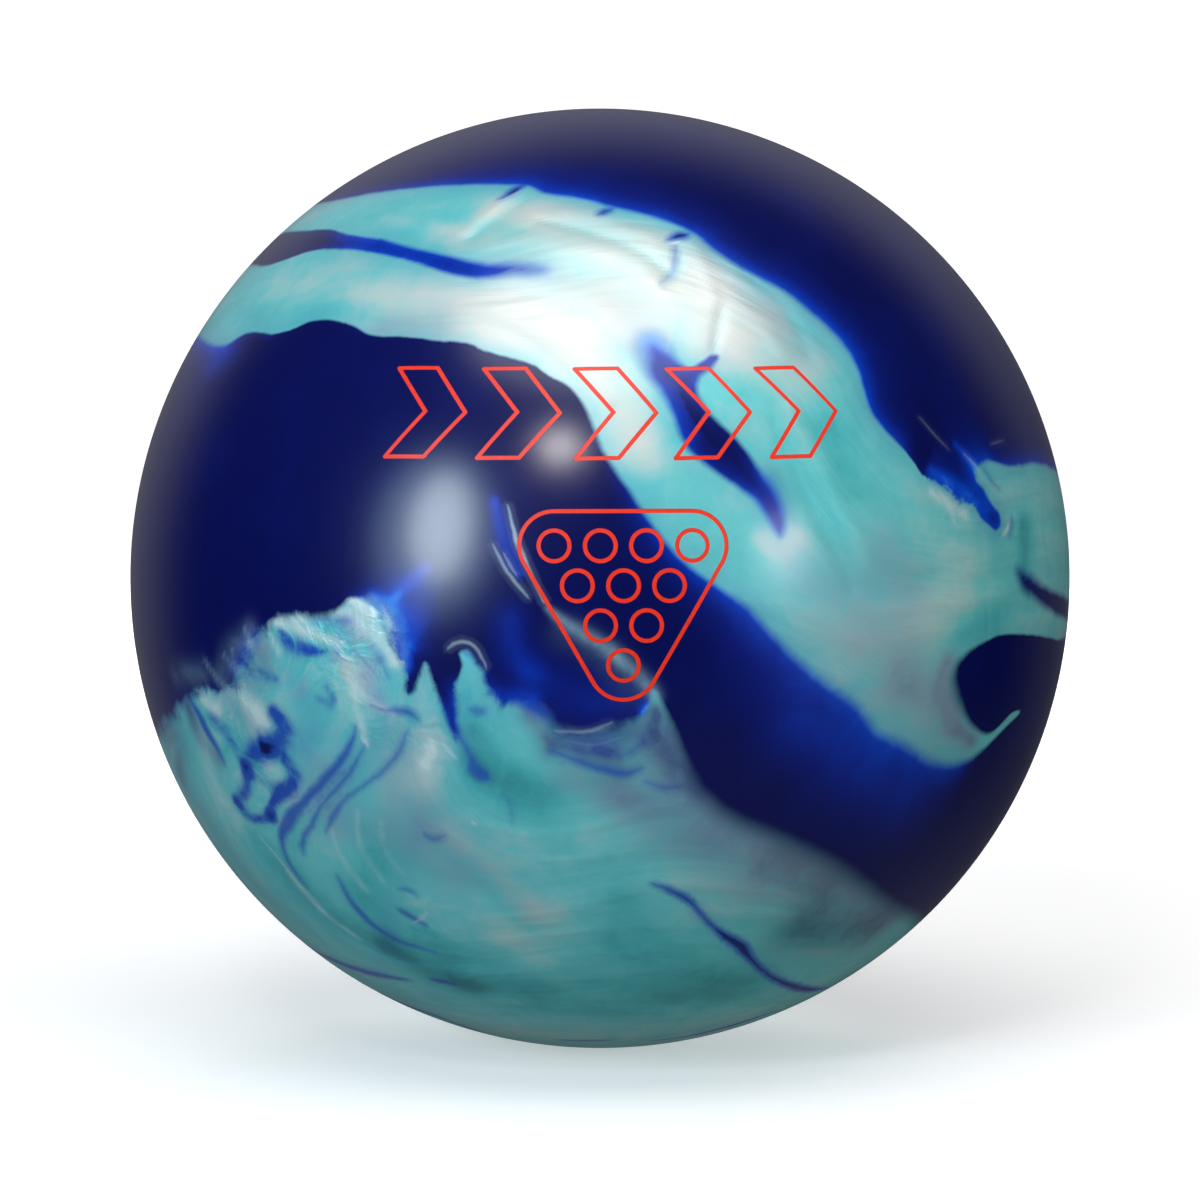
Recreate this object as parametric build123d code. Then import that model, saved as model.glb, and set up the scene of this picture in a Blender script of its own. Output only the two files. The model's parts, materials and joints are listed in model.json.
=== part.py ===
from build123d import *
from math import cos, radians, sin, sqrt
import os

# A ten-pin bowling ball, undrilled: a three-piece cast ball with a two-density weight block.
#
# Frame: origin at the centre of the ball, +Z up along the axis of the weight block, with the locator pin at
# the top of the ball. The decorated face points along -Y. Lengths are millimetres, angles are degrees.
#
# How it comes apart: the coverstock is a hollow sphere cast around the filler; the filler is a sphere cast
# around the weight block, which is a bulb with a dense slug in it and a flip block on its neck. The locator
# pin runs from the flip block to the surface. The engraved figures are shallow grooves, each with its own
# fill of paint.

# Driving dimensions
ball_radius = 217.0 / 2  # 8.54 inches across, inside the 8.500 to 8.595 inches that the rules allow
cover_thickness = 19.0  # three quarters of an inch of resin
filler_radius = ball_radius - cover_thickness

# Weight block, as radii about and heights along the axis of the core
bulb_bottom = -66.0
bulb_radius = 52.0
bulb_widest = -20.0
bulb_fullness = 1.5  # how far the bulb's round bottom holds out before it turns up
neck_radius = 29.0
neck_start = 26.0
neck_top = 40.0
neck_blend = 7.0
flip_radius = 41.0
flip_waist = 34.0
flip_top = 64.0
flip_edge = 5.0
slug_radius = 19.0
slug_bottom = -46.0
slug_top = 6.0

# Locator pin and the mark at the heavy side of the ball
pin_radius = 3.5
mark_radius = 1.5
mark_latitude = 46.0  # on the back of the ball, 44 degrees of arc from the pin
mark_longitude = 180.0

# Engraved figures
groove_width = 0.9
groove_depth = 0.4
paint_recess = 0.04  # how far the paint lies below the surface of the ball
cutter_reach = 12.0  # how far a cutter for a groove starts below the surface
overshoot = 1.0  # how far a cutter or a rod is left to stand out of the surface

chevron_count = 5
chevron_height = 20.0
chevron_width = 17.0
chevron_arm = 9.0  # along the row
chevron_pitch = 11.6  # degrees of longitude from one to the next
chevron_row_longitude = 1.9
chevron_row_latitude = 22.7

rack_longitude = 2.6
rack_latitude = 3.2
pin_rows = 4
pin_pitch = 9.6
ring_radius = 3.2
rack_margin = 7.2  # from the centres of the outer rings to the middle of the rack's outline


def ball(radius):
    """A solid sphere whose poles and seam lie away from every cut: poles on the X axis, seam underneath."""
    return Rotation(0, 90, 0) * Sphere(radius)


def outward(longitude, latitude):
    """The plane through the ball's centre that faces a place on its surface, its own x to the right of it.
    Longitude 0 is the decorated face, and it grows to the right of someone who looks at that face."""
    lon, lat = radians(longitude), radians(latitude)
    normal = (cos(lat) * sin(lon), -cos(lat) * cos(lon), sin(lat))
    return Plane(origin=(0, 0, 0), x_dir=(cos(lon), sin(lon), 0), z_dir=normal)


def stroke(outline):
    """A closed line of the groove's width that follows the edge of a face."""
    outer = offset(outline, amount=groove_width / 2, kind=Kind.ARC)
    inner = offset(outline, amount=-groove_width / 2, kind=Kind.INTERSECTION)
    return outer - inner


def cutter(figure, place):
    """A prism that stands on a flat figure and passes out through the surface of the ball."""
    raised = Pos(0, 0, ball_radius - cutter_reach) * figure
    return place.location * extrude(raised, cutter_reach + overshoot)


def paint(prism):
    """What fills a groove: the part of the cutter between the groove's floor and just under the surface."""
    return (prism & ball(ball_radius - paint_recess)) - ball(ball_radius - groove_depth)


def chevron_figure():
    """The outline of one chevron that points to the right, centred on the origin."""
    tip = chevron_width - chevron_arm
    corners = [
        (0, 0),
        (chevron_arm, 0),
        (chevron_width, chevron_height / 2),
        (chevron_arm, chevron_height),
        (0, chevron_height),
        (tip, chevron_height / 2),
    ]
    outline = make_face(Polyline(*corners, close=True))
    return stroke(Pos(-chevron_width / 2, -chevron_height / 2) * outline)


def pin_spots():
    """Where the ten pins of a rack stand, with the head pin lowest, centred on the origin."""
    row_step = pin_pitch * sqrt(3) / 2
    middle = row_step * (pin_rows - 1) * 2 / 3
    return [
        ((place - row / 2) * pin_pitch, row * row_step - middle)
        for row in range(pin_rows)
        for place in range(row + 1)
    ]


def rack_figure():
    """A triangle with round corners that goes round the ten spots."""
    spots = pin_spots()
    corners = [spots[0], spots[-1], spots[-pin_rows]]
    triangle = make_face(Polyline(*corners, close=True))
    return stroke(offset(triangle, amount=rack_margin, kind=Kind.ARC))


def ring_figure(spot):
    """One pin spot."""
    return stroke(Pos(*spot) * Circle(ring_radius))


def figures():
    """Every engraved figure as its node's name and the prism that cuts its groove."""
    cutters = {}
    for i in range(chevron_count):
        longitude = chevron_row_longitude + (i - (chevron_count - 1) / 2) * chevron_pitch
        place = outward(longitude, chevron_row_latitude)
        cutters[f"chevron_paint_{i + 1}"] = cutter(chevron_figure(), place)
    rack = outward(rack_longitude, rack_latitude)
    cutters["rack_outline_paint"] = cutter(rack_figure(), rack)
    for i, spot in enumerate(pin_spots()):
        cutters[f"pin_spot_paint_{i + 1:02d}"] = cutter(ring_figure(spot), rack)
    mark = outward(mark_longitude, mark_latitude)
    cutters["balance_mark_paint"] = cutter(Circle(mark_radius), mark)
    return cutters


def slug():
    """The dense middle of the bulb: a short bar with round ends."""
    ends = [Pos(0, 0, z) * Sphere(slug_radius) for z in (slug_bottom + slug_radius, slug_top - slug_radius)]
    length = slug_top - slug_bottom - 2 * slug_radius
    middle = Pos(0, 0, (slug_top + slug_bottom) / 2) * Cylinder(slug_radius, length)
    return middle + ends


def bulb_body():
    """The pear-shaped body of the weight block, solid, with the neck that carries the flip block."""
    side = Spline(
        (0, bulb_bottom),
        (bulb_radius, bulb_widest),
        (neck_radius, neck_start),
        tangents=[(1, 0), (0, 1), (0, 1)],
        tangent_scalars=[bulb_fullness, 1.0, 1.0],
    )
    rest = Polyline((neck_radius, neck_start), (neck_radius, neck_top), (0, neck_top), (0, bulb_bottom))
    profile = Plane.XZ * make_face(side + rest)
    return revolve(profile, Axis.Z)


def flip_block():
    """The puck on top of the neck, drawn in at its foot, with a rounded rim."""
    corners = [(0, neck_top), (flip_waist, neck_top), (flip_radius, neck_top + neck_blend)]
    corners += [(flip_radius, flip_top), (0, flip_top)]
    puck = revolve(Plane.XZ * make_face(Polyline(*corners, close=True)), Axis.Z)
    rims = puck.edges().filter_by(GeomType.CIRCLE).group_by(SortBy.RADIUS)[-1]
    return fillet(rims, flip_edge)


def locator_pin():
    """The plug in the hole left by the rod that held the core in its mould, cut flush with the ball."""
    length = ball_radius - flip_top + overshoot
    rod = Pos(0, 0, flip_top) * Cylinder(pin_radius, length, align=(Align.CENTER, Align.CENTER, Align.MIN))
    return rod & ball(ball_radius)


def build():
    """Every node of the ball by name."""
    cutters = figures()
    pin = locator_pin()
    pin_hole = Pos(0, 0, flip_top) * Cylinder(
        pin_radius, ball_radius, align=(Align.CENTER, Align.CENTER, Align.MIN)
    )
    bulb, core, block = bulb_body(), slug(), flip_block()
    nodes = {name: paint(prism) for name, prism in cutters.items()}
    cover = ball(ball_radius) - ball(filler_radius) - pin_hole
    for prism in cutters.values():
        cover -= prism - ball(ball_radius - groove_depth)
    nodes["coverstock"] = cover
    nodes["filler"] = ball(filler_radius) - bulb - block - pin_hole
    nodes["weight_block_bulb"] = bulb - core
    nodes["weight_block_slug"] = core
    nodes["flip_block"] = block
    nodes["locator_pin"] = pin
    return nodes


os.makedirs("parts", exist_ok=True)
for name, solid in build().items():
    export_step(solid, f"parts/{name}.step")
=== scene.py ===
import json
from math import atan, cos, pi, radians, sin

import bmesh
import bpy
import numpy as np
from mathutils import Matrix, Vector

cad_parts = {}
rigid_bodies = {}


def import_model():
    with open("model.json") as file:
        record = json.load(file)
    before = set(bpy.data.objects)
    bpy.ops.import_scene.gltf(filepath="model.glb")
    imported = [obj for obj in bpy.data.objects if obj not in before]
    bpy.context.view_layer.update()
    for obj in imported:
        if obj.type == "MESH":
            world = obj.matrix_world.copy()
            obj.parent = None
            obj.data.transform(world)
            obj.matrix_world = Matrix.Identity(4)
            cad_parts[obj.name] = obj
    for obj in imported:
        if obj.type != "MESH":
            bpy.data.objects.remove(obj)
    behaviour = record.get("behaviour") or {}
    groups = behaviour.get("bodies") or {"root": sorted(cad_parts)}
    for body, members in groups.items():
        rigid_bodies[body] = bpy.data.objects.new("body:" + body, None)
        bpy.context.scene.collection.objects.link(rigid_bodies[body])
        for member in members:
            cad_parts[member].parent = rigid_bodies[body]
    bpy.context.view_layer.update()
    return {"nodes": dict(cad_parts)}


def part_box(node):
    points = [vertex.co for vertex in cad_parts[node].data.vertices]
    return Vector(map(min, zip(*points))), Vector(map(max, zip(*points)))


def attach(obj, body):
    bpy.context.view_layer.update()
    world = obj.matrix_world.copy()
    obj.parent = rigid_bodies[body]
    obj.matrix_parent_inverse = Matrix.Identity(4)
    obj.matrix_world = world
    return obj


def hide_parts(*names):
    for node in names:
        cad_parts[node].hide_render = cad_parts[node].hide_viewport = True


# The looks of the bowling ball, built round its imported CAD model.
#
# The cover is a fine sphere with the CAD model's grooves cut in it. Its swirl is painted by a shader from
# fields that are worked out here for every vertex: how far a point is from the outlines, strokes and blots
# of the swirl. Places on the ball are given in its face frame: millimetres to the right and up from the
# middle of the ball, as the camera sees it. face() is the near side, and far() is the side seen if the ball
# were clear.

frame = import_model()

MM = 0.001
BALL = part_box("coverstock")
R = (BALL[1].x - BALL[0].x) / 2 / MM  # the ball's radius in millimetres
COVER_INNER = (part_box("filler")[1].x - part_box("filler")[0].x) / 2 / MM

# Camera
LENS, SENSOR = 135.0, 36.0
VIEW_ELEVATION = radians(4)
OUTLINE_SHARE = 0.783  # the ball's outline as a share of half the picture
AIM_BELOW = 5.0  # how far under the ball's middle the camera points

OUTLINE_SLOPE = OUTLINE_SHARE * SENSOR / 2 / LENS
DISTANCE = R / sin(atan(OUTLINE_SLOPE))
TOWARDS = np.array([0, -cos(VIEW_ELEVATION), sin(VIEW_ELEVATION)])  # from the ball to the camera
RIGHT = np.array([1.0, 0, 0])
UP = np.cross(TOWARDS, RIGHT)


# ---------------------------------------------------------------- places on the ball

def face(u, w):
    """The unit vector to the place on the near side that the camera sees at (u, w)."""
    ray = OUTLINE_SLOPE / R * (u * RIGHT + w * UP) - TOWARDS
    ray /= np.linalg.norm(ray)
    along = -DISTANCE * TOWARDS @ ray
    half_chord = np.sqrt(max(along**2 - DISTANCE**2 + R**2, 0))
    return (DISTANCE * TOWARDS + (along - half_chord) * ray) / R


def far(u, w):
    """The unit vector to the place straight behind face(u, w)."""
    near = face(u, w)
    return near - 2 * (near @ TOWARDS) * TOWARDS


def line(points, closed=False, step=0.8):
    """A smooth curve over the ball, as rows of a unit vector and the points' other values, step mm apart.
    A point is (u, w, values...), or ("far", u, w, values...) on the far side."""
    rows = []
    for point in points:
        back = point[0] == "far"
        u, w, *values = point[1:] if back else point
        rows.append([*(far(u, w) if back else face(u, w)), *values])
    rows = np.array(rows, float)
    if closed:
        rows = np.vstack([rows[-1:], rows, rows[:2]])
    else:
        rows = np.vstack([2 * rows[:1] - rows[1:2], rows, 2 * rows[-1:] - rows[-2:-1]])
    gaps = np.linalg.norm(np.diff(rows[:, :3], axis=0), axis=1)[:, None]
    slopes = np.diff(rows, axis=0) / gaps
    tangents = (slopes[:-1] * gaps[1:] + slopes[1:] * gaps[:-1]) / (gaps[1:] + gaps[:-1])
    pieces = []
    for a, b, gap, ta, tb in zip(rows[1:-2], rows[2:-1], gaps[1:-1], tangents[:-1], tangents[1:]):
        t = np.linspace(0, 1, max(2, int(gap[0] * R / step)), endpoint=False)[:, None]
        pieces.append(
            (2 * t**3 - 3 * t**2 + 1) * a + (t**3 - 2 * t**2 + t) * gap * ta
            + (3 * t**2 - 2 * t**3) * b + (t**3 - t**2) * gap * tb
        )
    if not closed:
        pieces.append(rows[-2:-1])
    curve = np.vstack(pieces)
    curve[:, :3] /= np.linalg.norm(curve[:, :3], axis=1)[:, None]
    return curve


def nearest(curve, closed, spots):
    """For each spot: its distance from the curve in mm, which side of the curve it is on, the curve's values
    at the nearest place, and how far past an open curve's end it lies, in mm."""
    at = np.concatenate([np.argmax(part @ curve[:, :3].T, axis=1) for part in np.array_split(spots, 64)])
    count = len(curve)
    best = np.full(len(spots), np.inf)
    side = np.ones(len(spots))
    values = np.zeros((len(spots), curve.shape[1] - 3))
    past = np.zeros(len(spots))
    for shift in (-1, 0):
        if closed:
            i, j = (at + shift) % count, (at + shift + 1) % count
        else:
            i = np.clip(at + shift, 0, count - 2)
            j = i + 1
        a, b = curve[i], curve[j]
        run = b[:, :3] - a[:, :3]
        length = np.maximum((run**2).sum(1), 1e-16)
        free = ((spots - a[:, :3]) * run).sum(1) / length
        t = np.clip(free, 0, 1)[:, None]
        foot = a + t * (b - a)
        distance = np.linalg.norm(spots - foot[:, :3], axis=1) * R
        better = distance < best
        best = np.where(better, distance, best)
        turn = (np.cross(a[:, :3], b[:, :3]) * spots).sum(1)
        side = np.where(better, np.sign(turn), side)
        values = np.where(better[:, None], foot[:, 3:], values)
        over = np.abs(free - t[:, 0]) * np.sqrt(length) * R
        past = np.where(better, 0 if closed else over, past)
    return best, side, values, past


def inside(curve, outside, spots):
    """Whether each spot is inside a closed curve, told from outside, a direction that isn't."""
    pole = outside / np.linalg.norm(outside)
    east = np.cross(pole, [0.31, 0.22, 0.93])
    east /= np.linalg.norm(east)
    north = np.cross(pole, east)

    def flat(v):
        away = np.maximum(1 - v @ pole, 1e-9)
        return v @ east / away, v @ north / away

    x, y = flat(spots)
    ax, ay = flat(curve[:, :3])
    bx, by = np.roll(ax, -1), np.roll(ay, -1)
    odd = np.zeros(len(spots), bool)
    for x0, y0, x1, y1 in zip(ax, ay, bx, by):
        crosses = (y0 > y) != (y1 > y)
        odd ^= crosses & (x < x0 + (y - y0) * (x1 - x0) / (y1 - y0 if y1 != y0 else 1))
    return odd


# ---------------------------------------------------------------- the swirl's outlines
# Each point is u, w and, in mm, the softness of the edge, the width of the blue glow outside it and how ragged
# it is.

def alike(soft, glow, rough, *places):
    """Points of an outline that share all but their place."""
    return [(u, w, soft, glow, rough) for u, w in places]


def behind(*points):
    """Points that lie on the far side of the ball."""
    return [("far", *point) for point in points]


BAND = [
    (-66, 86, 1, 2, 0.3), (-60, 87.4, 1, 3, 0.3), (-52, 88.9, 1, 4, 0.2), (-44, 89.9, 0.9, 5, 0.2),
    (-36, 90.6, 0.9, 6, 0.2), (-28, 90.9, 0.9, 7, 0.2), (-21, 90.8, 0.8, 8, 0.2), (-16.5, 90.6, 0.8, 8, 0.2),
    *alike(1, 9, 0.2, (-13, 89), (-6, 87.8), (2, 86), (10, 84), (17, 81.8), (21, 80), (26, 76)),
    *alike(1, 8, 0.2, (32, 72), (38, 68.8), (43, 66), (48, 62), (53, 57.5), (57, 52.8)),
    (59.5, 48, 0.9, 7, 0.2), (61, 43, 0.8, 7, 0.2), (62.5, 38.5, 0.8, 7, 0.2), (65.5, 34.5, 0.7, 6, 0.3),
    (69.5, 30.5, 0.6, 5, 0.3), (72.3, 27, 0.4, 2, 0.3), (74, 24.3, 0.4, 2, 0.4), (77.6, 22.3, 0.6, 8, 1.2),
    (80.2, 20.8, 0.6, 8, 1.4), (82, 18.7, 0.8, 8, 1.4), (84.2, 18.2, 0.8, 7, 1.2), (86.4, 16.6, 0.6, 6, 0.8),
    (88, 13.9, 0.5, 6, 0.3), (90, 12.3, 0.5, 6, 0.3), (91.6, 11.2, 0.5, 7, 0.3), (92.6, 12.7, 0.6, 7, 0.3),
    (92.3, 14.8, 0.6, 7, 0.3), (90.6, 17, 0.7, 7, 0.5), (89, 19.6, 0.7, 7, 0.7), (87.4, 22, 0.8, 8, 0.9),
    (86.4, 24.4, 0.9, 9, 1), (88.4, 26.9, 0.8, 9, 0.5), (91, 27, 0.7, 5, 0.4), (93.5, 26, 0.7, 5, 0.3),
    (97, 26, 0.8, 5, 0.3), (100.5, 26.5, 0.8, 5, 0.3), (105, 25, 1, 5, 0.4),
    *behind(
        (101, 27, 1.2, 6, 0.8), (90, 30, 1.2, 8, 1), (75, 30, 1, 9, 1), (60, 25, 1, 9, 1.2),
        (49, 17, 1, 6, 1.5), (44, 8, 1, 4, 1.5), (50, 3, 1, 6, 1.5), (58, 7, 1, 10, 1), (66, 6, 1, 12, 1),
        (80, -3, 1.2, 10, 1), (95, -9, 1, 6, 0.8),
    ),
    (107.5, -13.6, 0.8, 3, 0.4), (105, -14, 0.5, 0, 0.2), (102, -13.3, 0.5, 0, 0.2), (97, -12.8, 0.4, 0, 0.2),
    (92, -13.2, 0.4, 0, 0.2), (88, -15, 0.6, 0, 0.2), (84.5, -17.3, 1.1, 0, 0.2), (82, -20, 1.9, 0, 0.2),
    (81.2, -23, 2.4, 0, 0.2), (81.6, -26, 2.5, 0, 0.2), (82.8, -29, 2.2, 0, 0.2), (84.8, -32.8, 1.4, 0, 0.2),
    (87.6, -35.4, 0.9, 0, 0.2), (90, -35.8, 0.7, 0, 0.2), (92.4, -34, 0.5, 0, 0.2), (95, -31.2, 0.4, 0, 0.2),
    (97.3, -30.6, 0.4, 0, 0.2), (95.4, -32.6, 0.5, 0, 0.2), (92, -36, 0.7, 0, 0.2), (89, -39, 0.9, 0, 0.3),
    (86, -41.4, 1.4, 3, 0.3), (83, -42.6, 1.6, 7, 0.4), (79, -42.8, 1.8, 11, 0.4), (74.8, -41.2, 2, 12, 0.4),
    (71.6, -38.9, 2, 13, 0.4), *alike(2, 14, 0.3, (67.6, -36.8), (64, -35.2), (62, -32.5), (60.4, -30)),
    (56.4, -26.9, 2, 15, 0.3), (51.4, -23.3, 1.9, 15, 0.3), (45.5, -18.3, 1.8, 14, 0.3),
    (39.6, -12.6, 1.5, 12, 0.2), (34, -6.5, 1.2, 9, 0.2), (29, -3, 1, 7, 0.2), (24.5, 0, 0.9, 6, 0.2),
    *alike(0.9, 5, 0.2, (20, 3.5), (16, 7.5), (12.5, 12), (9.5, 16)), (7, 20, 0.9, 4, 0.2),
    (4.5, 23.5, 0.9, 3, 0.2), (2, 27.5, 0.9, 2, 0.2), (0, 31, 0.9, 2, 0.2), (-1.5, 35, 0.8, 1.5, 0.2),
    (-3, 39, 0.7, 1.2, 0.2), (-4.5, 41.5, 0.6, 1, 0.2), (-6.5, 43.8, 0.5, 1, 0.2), (-9, 45.5, 0.45, 1, 0.2),
    *alike(0.4, 1, 0.3, (-12, 47), (-15, 49), (-19, 50.5), (-23, 51.6)), (-27, 52.7, 0.4, 1, 0.4),
    (-30, 54, 0.4, 1, 0.4), (-34, 54.7, 0.4, 1, 0.5), (-38, 55, 0.4, 1, 0.5), (-42, 55.5, 0.4, 1, 0.3),
    *alike(
        0.4, 1, 0.2, (-46, 55.9), (-50, 56), (-53, 56.4), (-57, 58.5), (-60, 59.3), (-64, 59.8), (-67, 59.4),
        (-70, 58), (-73, 57)
    ),
    (-75.5, 56.5, 0.4, 2, 0.2), (-78, 56.7, 0.4, 2, 0.2), (-81, 56.8, 0.5, 2, 0.2), (-83, 56, 0.6, 3, 0.2),
    (-85.5, 54.3, 0.7, 5, 0.2), (-88, 53.8, 0.8, 6, 0.2), (-90, 54.3, 0.9, 6, 0.2), (-92.5, 56, 1, 6, 0.2),
    *behind(
        (-90, 49, 1, 6, 0.5), (-80, 38, 1, 7, 0.8), (-62, 31, 1, 8, 1), (-42, 30, 1, 8, 1.2),
        (-20, 36, 1.2, 7, 1.5), (-6, 44, 1.2, 7, 1.5), (-14, 48, 1.2, 8, 1.5), (-30, 46, 1.2, 10, 1.2),
        (-44, 52, 1.2, 9, 1), (-56, 66, 1.1, 7, 0.8), (-63, 79, 1, 4, 0.5),
    ),
]

MASS = [
    (-102, -37, 3, 2, 1.6), (-98.6, -32.4, 2.6, 2, 1.6), (-95.4, -28.6, 2, 2, 1.5),
    (-91.4, -26.2, 1.4, 2, 1.4), (-87, -26.6, 1.4, 2, 1.6), (-84.6, -25.4, 2, 2, 2.4),
    (-83.4, -22, 2.8, 3, 3), (-81.6, -18.6, 3, 3, 3), (-79.6, -15.4, 2.8, 3, 2.6), (-77.8, -12.4, 2.2, 2, 2),
    (-76.6, -10, 1.4, 1, 1.4), (-73, -9, 1.4, 1, 1.2), (-69, -9, 1.4, 1, 1), (-65, -8.8, 1.4, 1, 0.9),
    (-61.5, -7.8, 1.2, 1, 0.8), (-59.5, -6.6, 0.9, 1, 0.5), (-58, -4.8, 0.7, 2, 0.5), (-55, -5.1, 1, 5, 1.2),
    (-51.5, -6.6, 1.5, 7, 2.2), (-49, -9, 1.7, 8, 2.6), (-47.4, -13, 1.7, 8, 2.8), (-46.3, -18, 1.3, 6, 2.4),
    (-45.4, -22.5, 0.9, 3, 1.4), (-44.5, -27.2, 0.7, 1, 0.9), (-43, -26.4, 0.9, 1, 0.9),
    (-41.6, -23.2, 0.9, 1, 0.7), (-40.3, -19.6, 0.8, 1, 0.6), (-39.4, -22.8, 0.9, 1, 0.7),
    (-38, -26.2, 1, 2, 0.8), (-36.9, -29, 0.9, 4, 0.8), (-35.6, -32, 1, 5, 0.8), (-34.4, -35.6, 1, 5, 0.8),
    (-33.4, -38, 1, 5, 0.6), (-32.6, -37, 1, 5, 0.6), (-33, -33, 1, 5, 0.8), (-33.4, -28.5, 0.9, 5, 0.8),
    (-33.2, -24, 0.7, 3, 0.7), (-32.2, -21.4, 0.4, 1, 0.3), (-31.8, -19.4, 0.5, 1, 0.3),
    (-32.5, -17.2, 0.5, 1, 0.3), (-30.8, -16.4, 0.6, 1, 0.4), (-28.9, -18.4, 0.8, 2, 0.7),
    (-27, -22, 1, 3, 1), (-25.4, -26, 1, 4, 1.1), (-24.2, -28.4, 1.1, 4, 1.1), (-20, -29, 1.6, 4, 1.4),
    (-16, -30, 2.2, 4, 1.6), (-13, -31.7, 2.4, 2, 1.6), (-10.5, -34.5, 2.6, 1, 1.6), (-6, -36.5, 2.8, 1, 1.6),
    (-1, -37, 3, 1, 1.6), (3, -36, 3, 1, 1.4), (7, -34, 2.4, 1, 1.2), (10.5, -31.2, 1.2, 2, 0.6),
    (11.6, -28.4, 0.8, 3, 0.3), (12.6, -26, 0.8, 1, 0.3), (14, -28.5, 0.9, 0, 0.3),
    (15.8, -32.5, 1.2, 0, 0.3), (17.4, -37, 1.6, 0, 0.3), (19, -41.4, 2, 0, 0.3), (20.6, -46.2, 2.6, 0, 0.3),
    (23, -50.4, 3.2, 0, 0.3), (26.8, -54.4, 3.8, 0, 0.3), (32, -57.6, 4.2, 0, 0.3), (39, -60.8, 4.4, 0, 0.3),
    (46, -64, 4.6, 0, 0.3), (53, -67.6, 4.6, 0, 0.3), (59, -71.4, 4.4, 0, 0.3), (65, -75.4, 4, 0, 0.4),
    (73, -79.6, 3.4, 0, 0.5),
    *behind(
        (64, -84, 2, 4, 1), (46, -78, 1.4, 8, 1.2), (28, -66, 1.2, 10, 1.4), (14, -52, 1, 9, 1.6),
        (2, -38, 1, 6, 1.8), (-8, -33, 0.9, 5, 1.8), (-12, -40, 0.9, 5, 1.8), (-16, -52, 1, 9, 1.5),
        (-30, -60, 1.2, 12, 1.2), (-48, -56, 1.2, 12, 1.2), (-68, -44, 1.2, 8, 1.2), (-88, -36, 1.2, 5, 1.2),
    ),
]

COMMA = behind(
    *alike(1, 9, 0.8, (6, 24), (18, 22), (27, 12)), (26, -4, 0.9, 7, 0.8), (14, -16, 0.9, 4, 1),
    (-6, -21, 0.9, 3, 1.2), (-30, -18, 0.9, 3, 1.2), (-52, -6, 0.8, 3, 1.2), (-66, 8, 0.8, 2, 0.8),
    (-54, 4, 0.9, 6, 0.8), (-36, -3, 1, 10, 0.8), (-16, -3, 1, 12, 0.8), (-4, 5, 1, 12, 0.8),
    (-1, 16, 1, 10, 0.8),
)

# Blue that lies over the mint, told the same way
STRIPE = [
    (-73.5, 79.6, 0.8, 1, 0.2), (-68, 80.3, 0.6, 1.5, 0.2), (-62, 80.5, 0.5, 3, 0.2),
    (-59.5, 79.7, 0.5, 5, 0.2), (-55, 79, 0.6, 7, 0.2), (-50, 78.3, 0.7, 9, 0.2), (-45, 76.8, 0.8, 9, 0.2),
    (-40, 75.6, 0.8, 9, 0.2), (-35, 74.5, 0.9, 9, 0.2), (-30, 73.3, 1.1, 9, 0.2), (-25, 72.7, 1.5, 9, 0.2),
    (-20, 72.7, 2.2, 9, 0.2), (-15.6, 72, 3, 9, 0.2), (-13, 71.2, 3.2, 9, 0.2), (-15.6, 70.5, 3, 9, 0.2),
    (-20, 70.3, 2.4, 9, 0.2), (-24, 69.6, 1.4, 9, 0.2), (-28, 69.3, 1.1, 9, 0.2), (-32, 69.8, 0.9, 9, 0.2),
    (-36, 70.7, 0.8, 9, 0.2), (-40, 72.1, 0.8, 9, 0.2), (-45, 73.6, 0.7, 9, 0.2), (-50, 74.8, 0.6, 9, 0.2),
    (-55, 75.6, 0.6, 7, 0.2), (-60, 75.9, 0.6, 5, 0.2), (-64, 76, 0.5, 3, 0.2), (-67, 75.5, 0.5, 2, 0.2),
    (-70, 74.5, 0.5, 1.5, 0.2), (-73, 73.4, 0.5, 1, 0.2), (-76, 72.4, 0.6, 1, 0.2),
    (-80.5, 72.3, 0.8, 1, 0.2),
    *behind(
        (-76, 64, 0.8, 4, 0.5), (-62, 48, 0.8, 6, 0.8), (-46, 39, 0.8, 7, 0.8), (-30, 38, 1, 7, 0.8),
        (-46, 44, 0.8, 7, 0.8), (-60, 56, 0.8, 5, 0.8), (-70, 71, 0.8, 3, 0.5),
    ),
]

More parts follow.
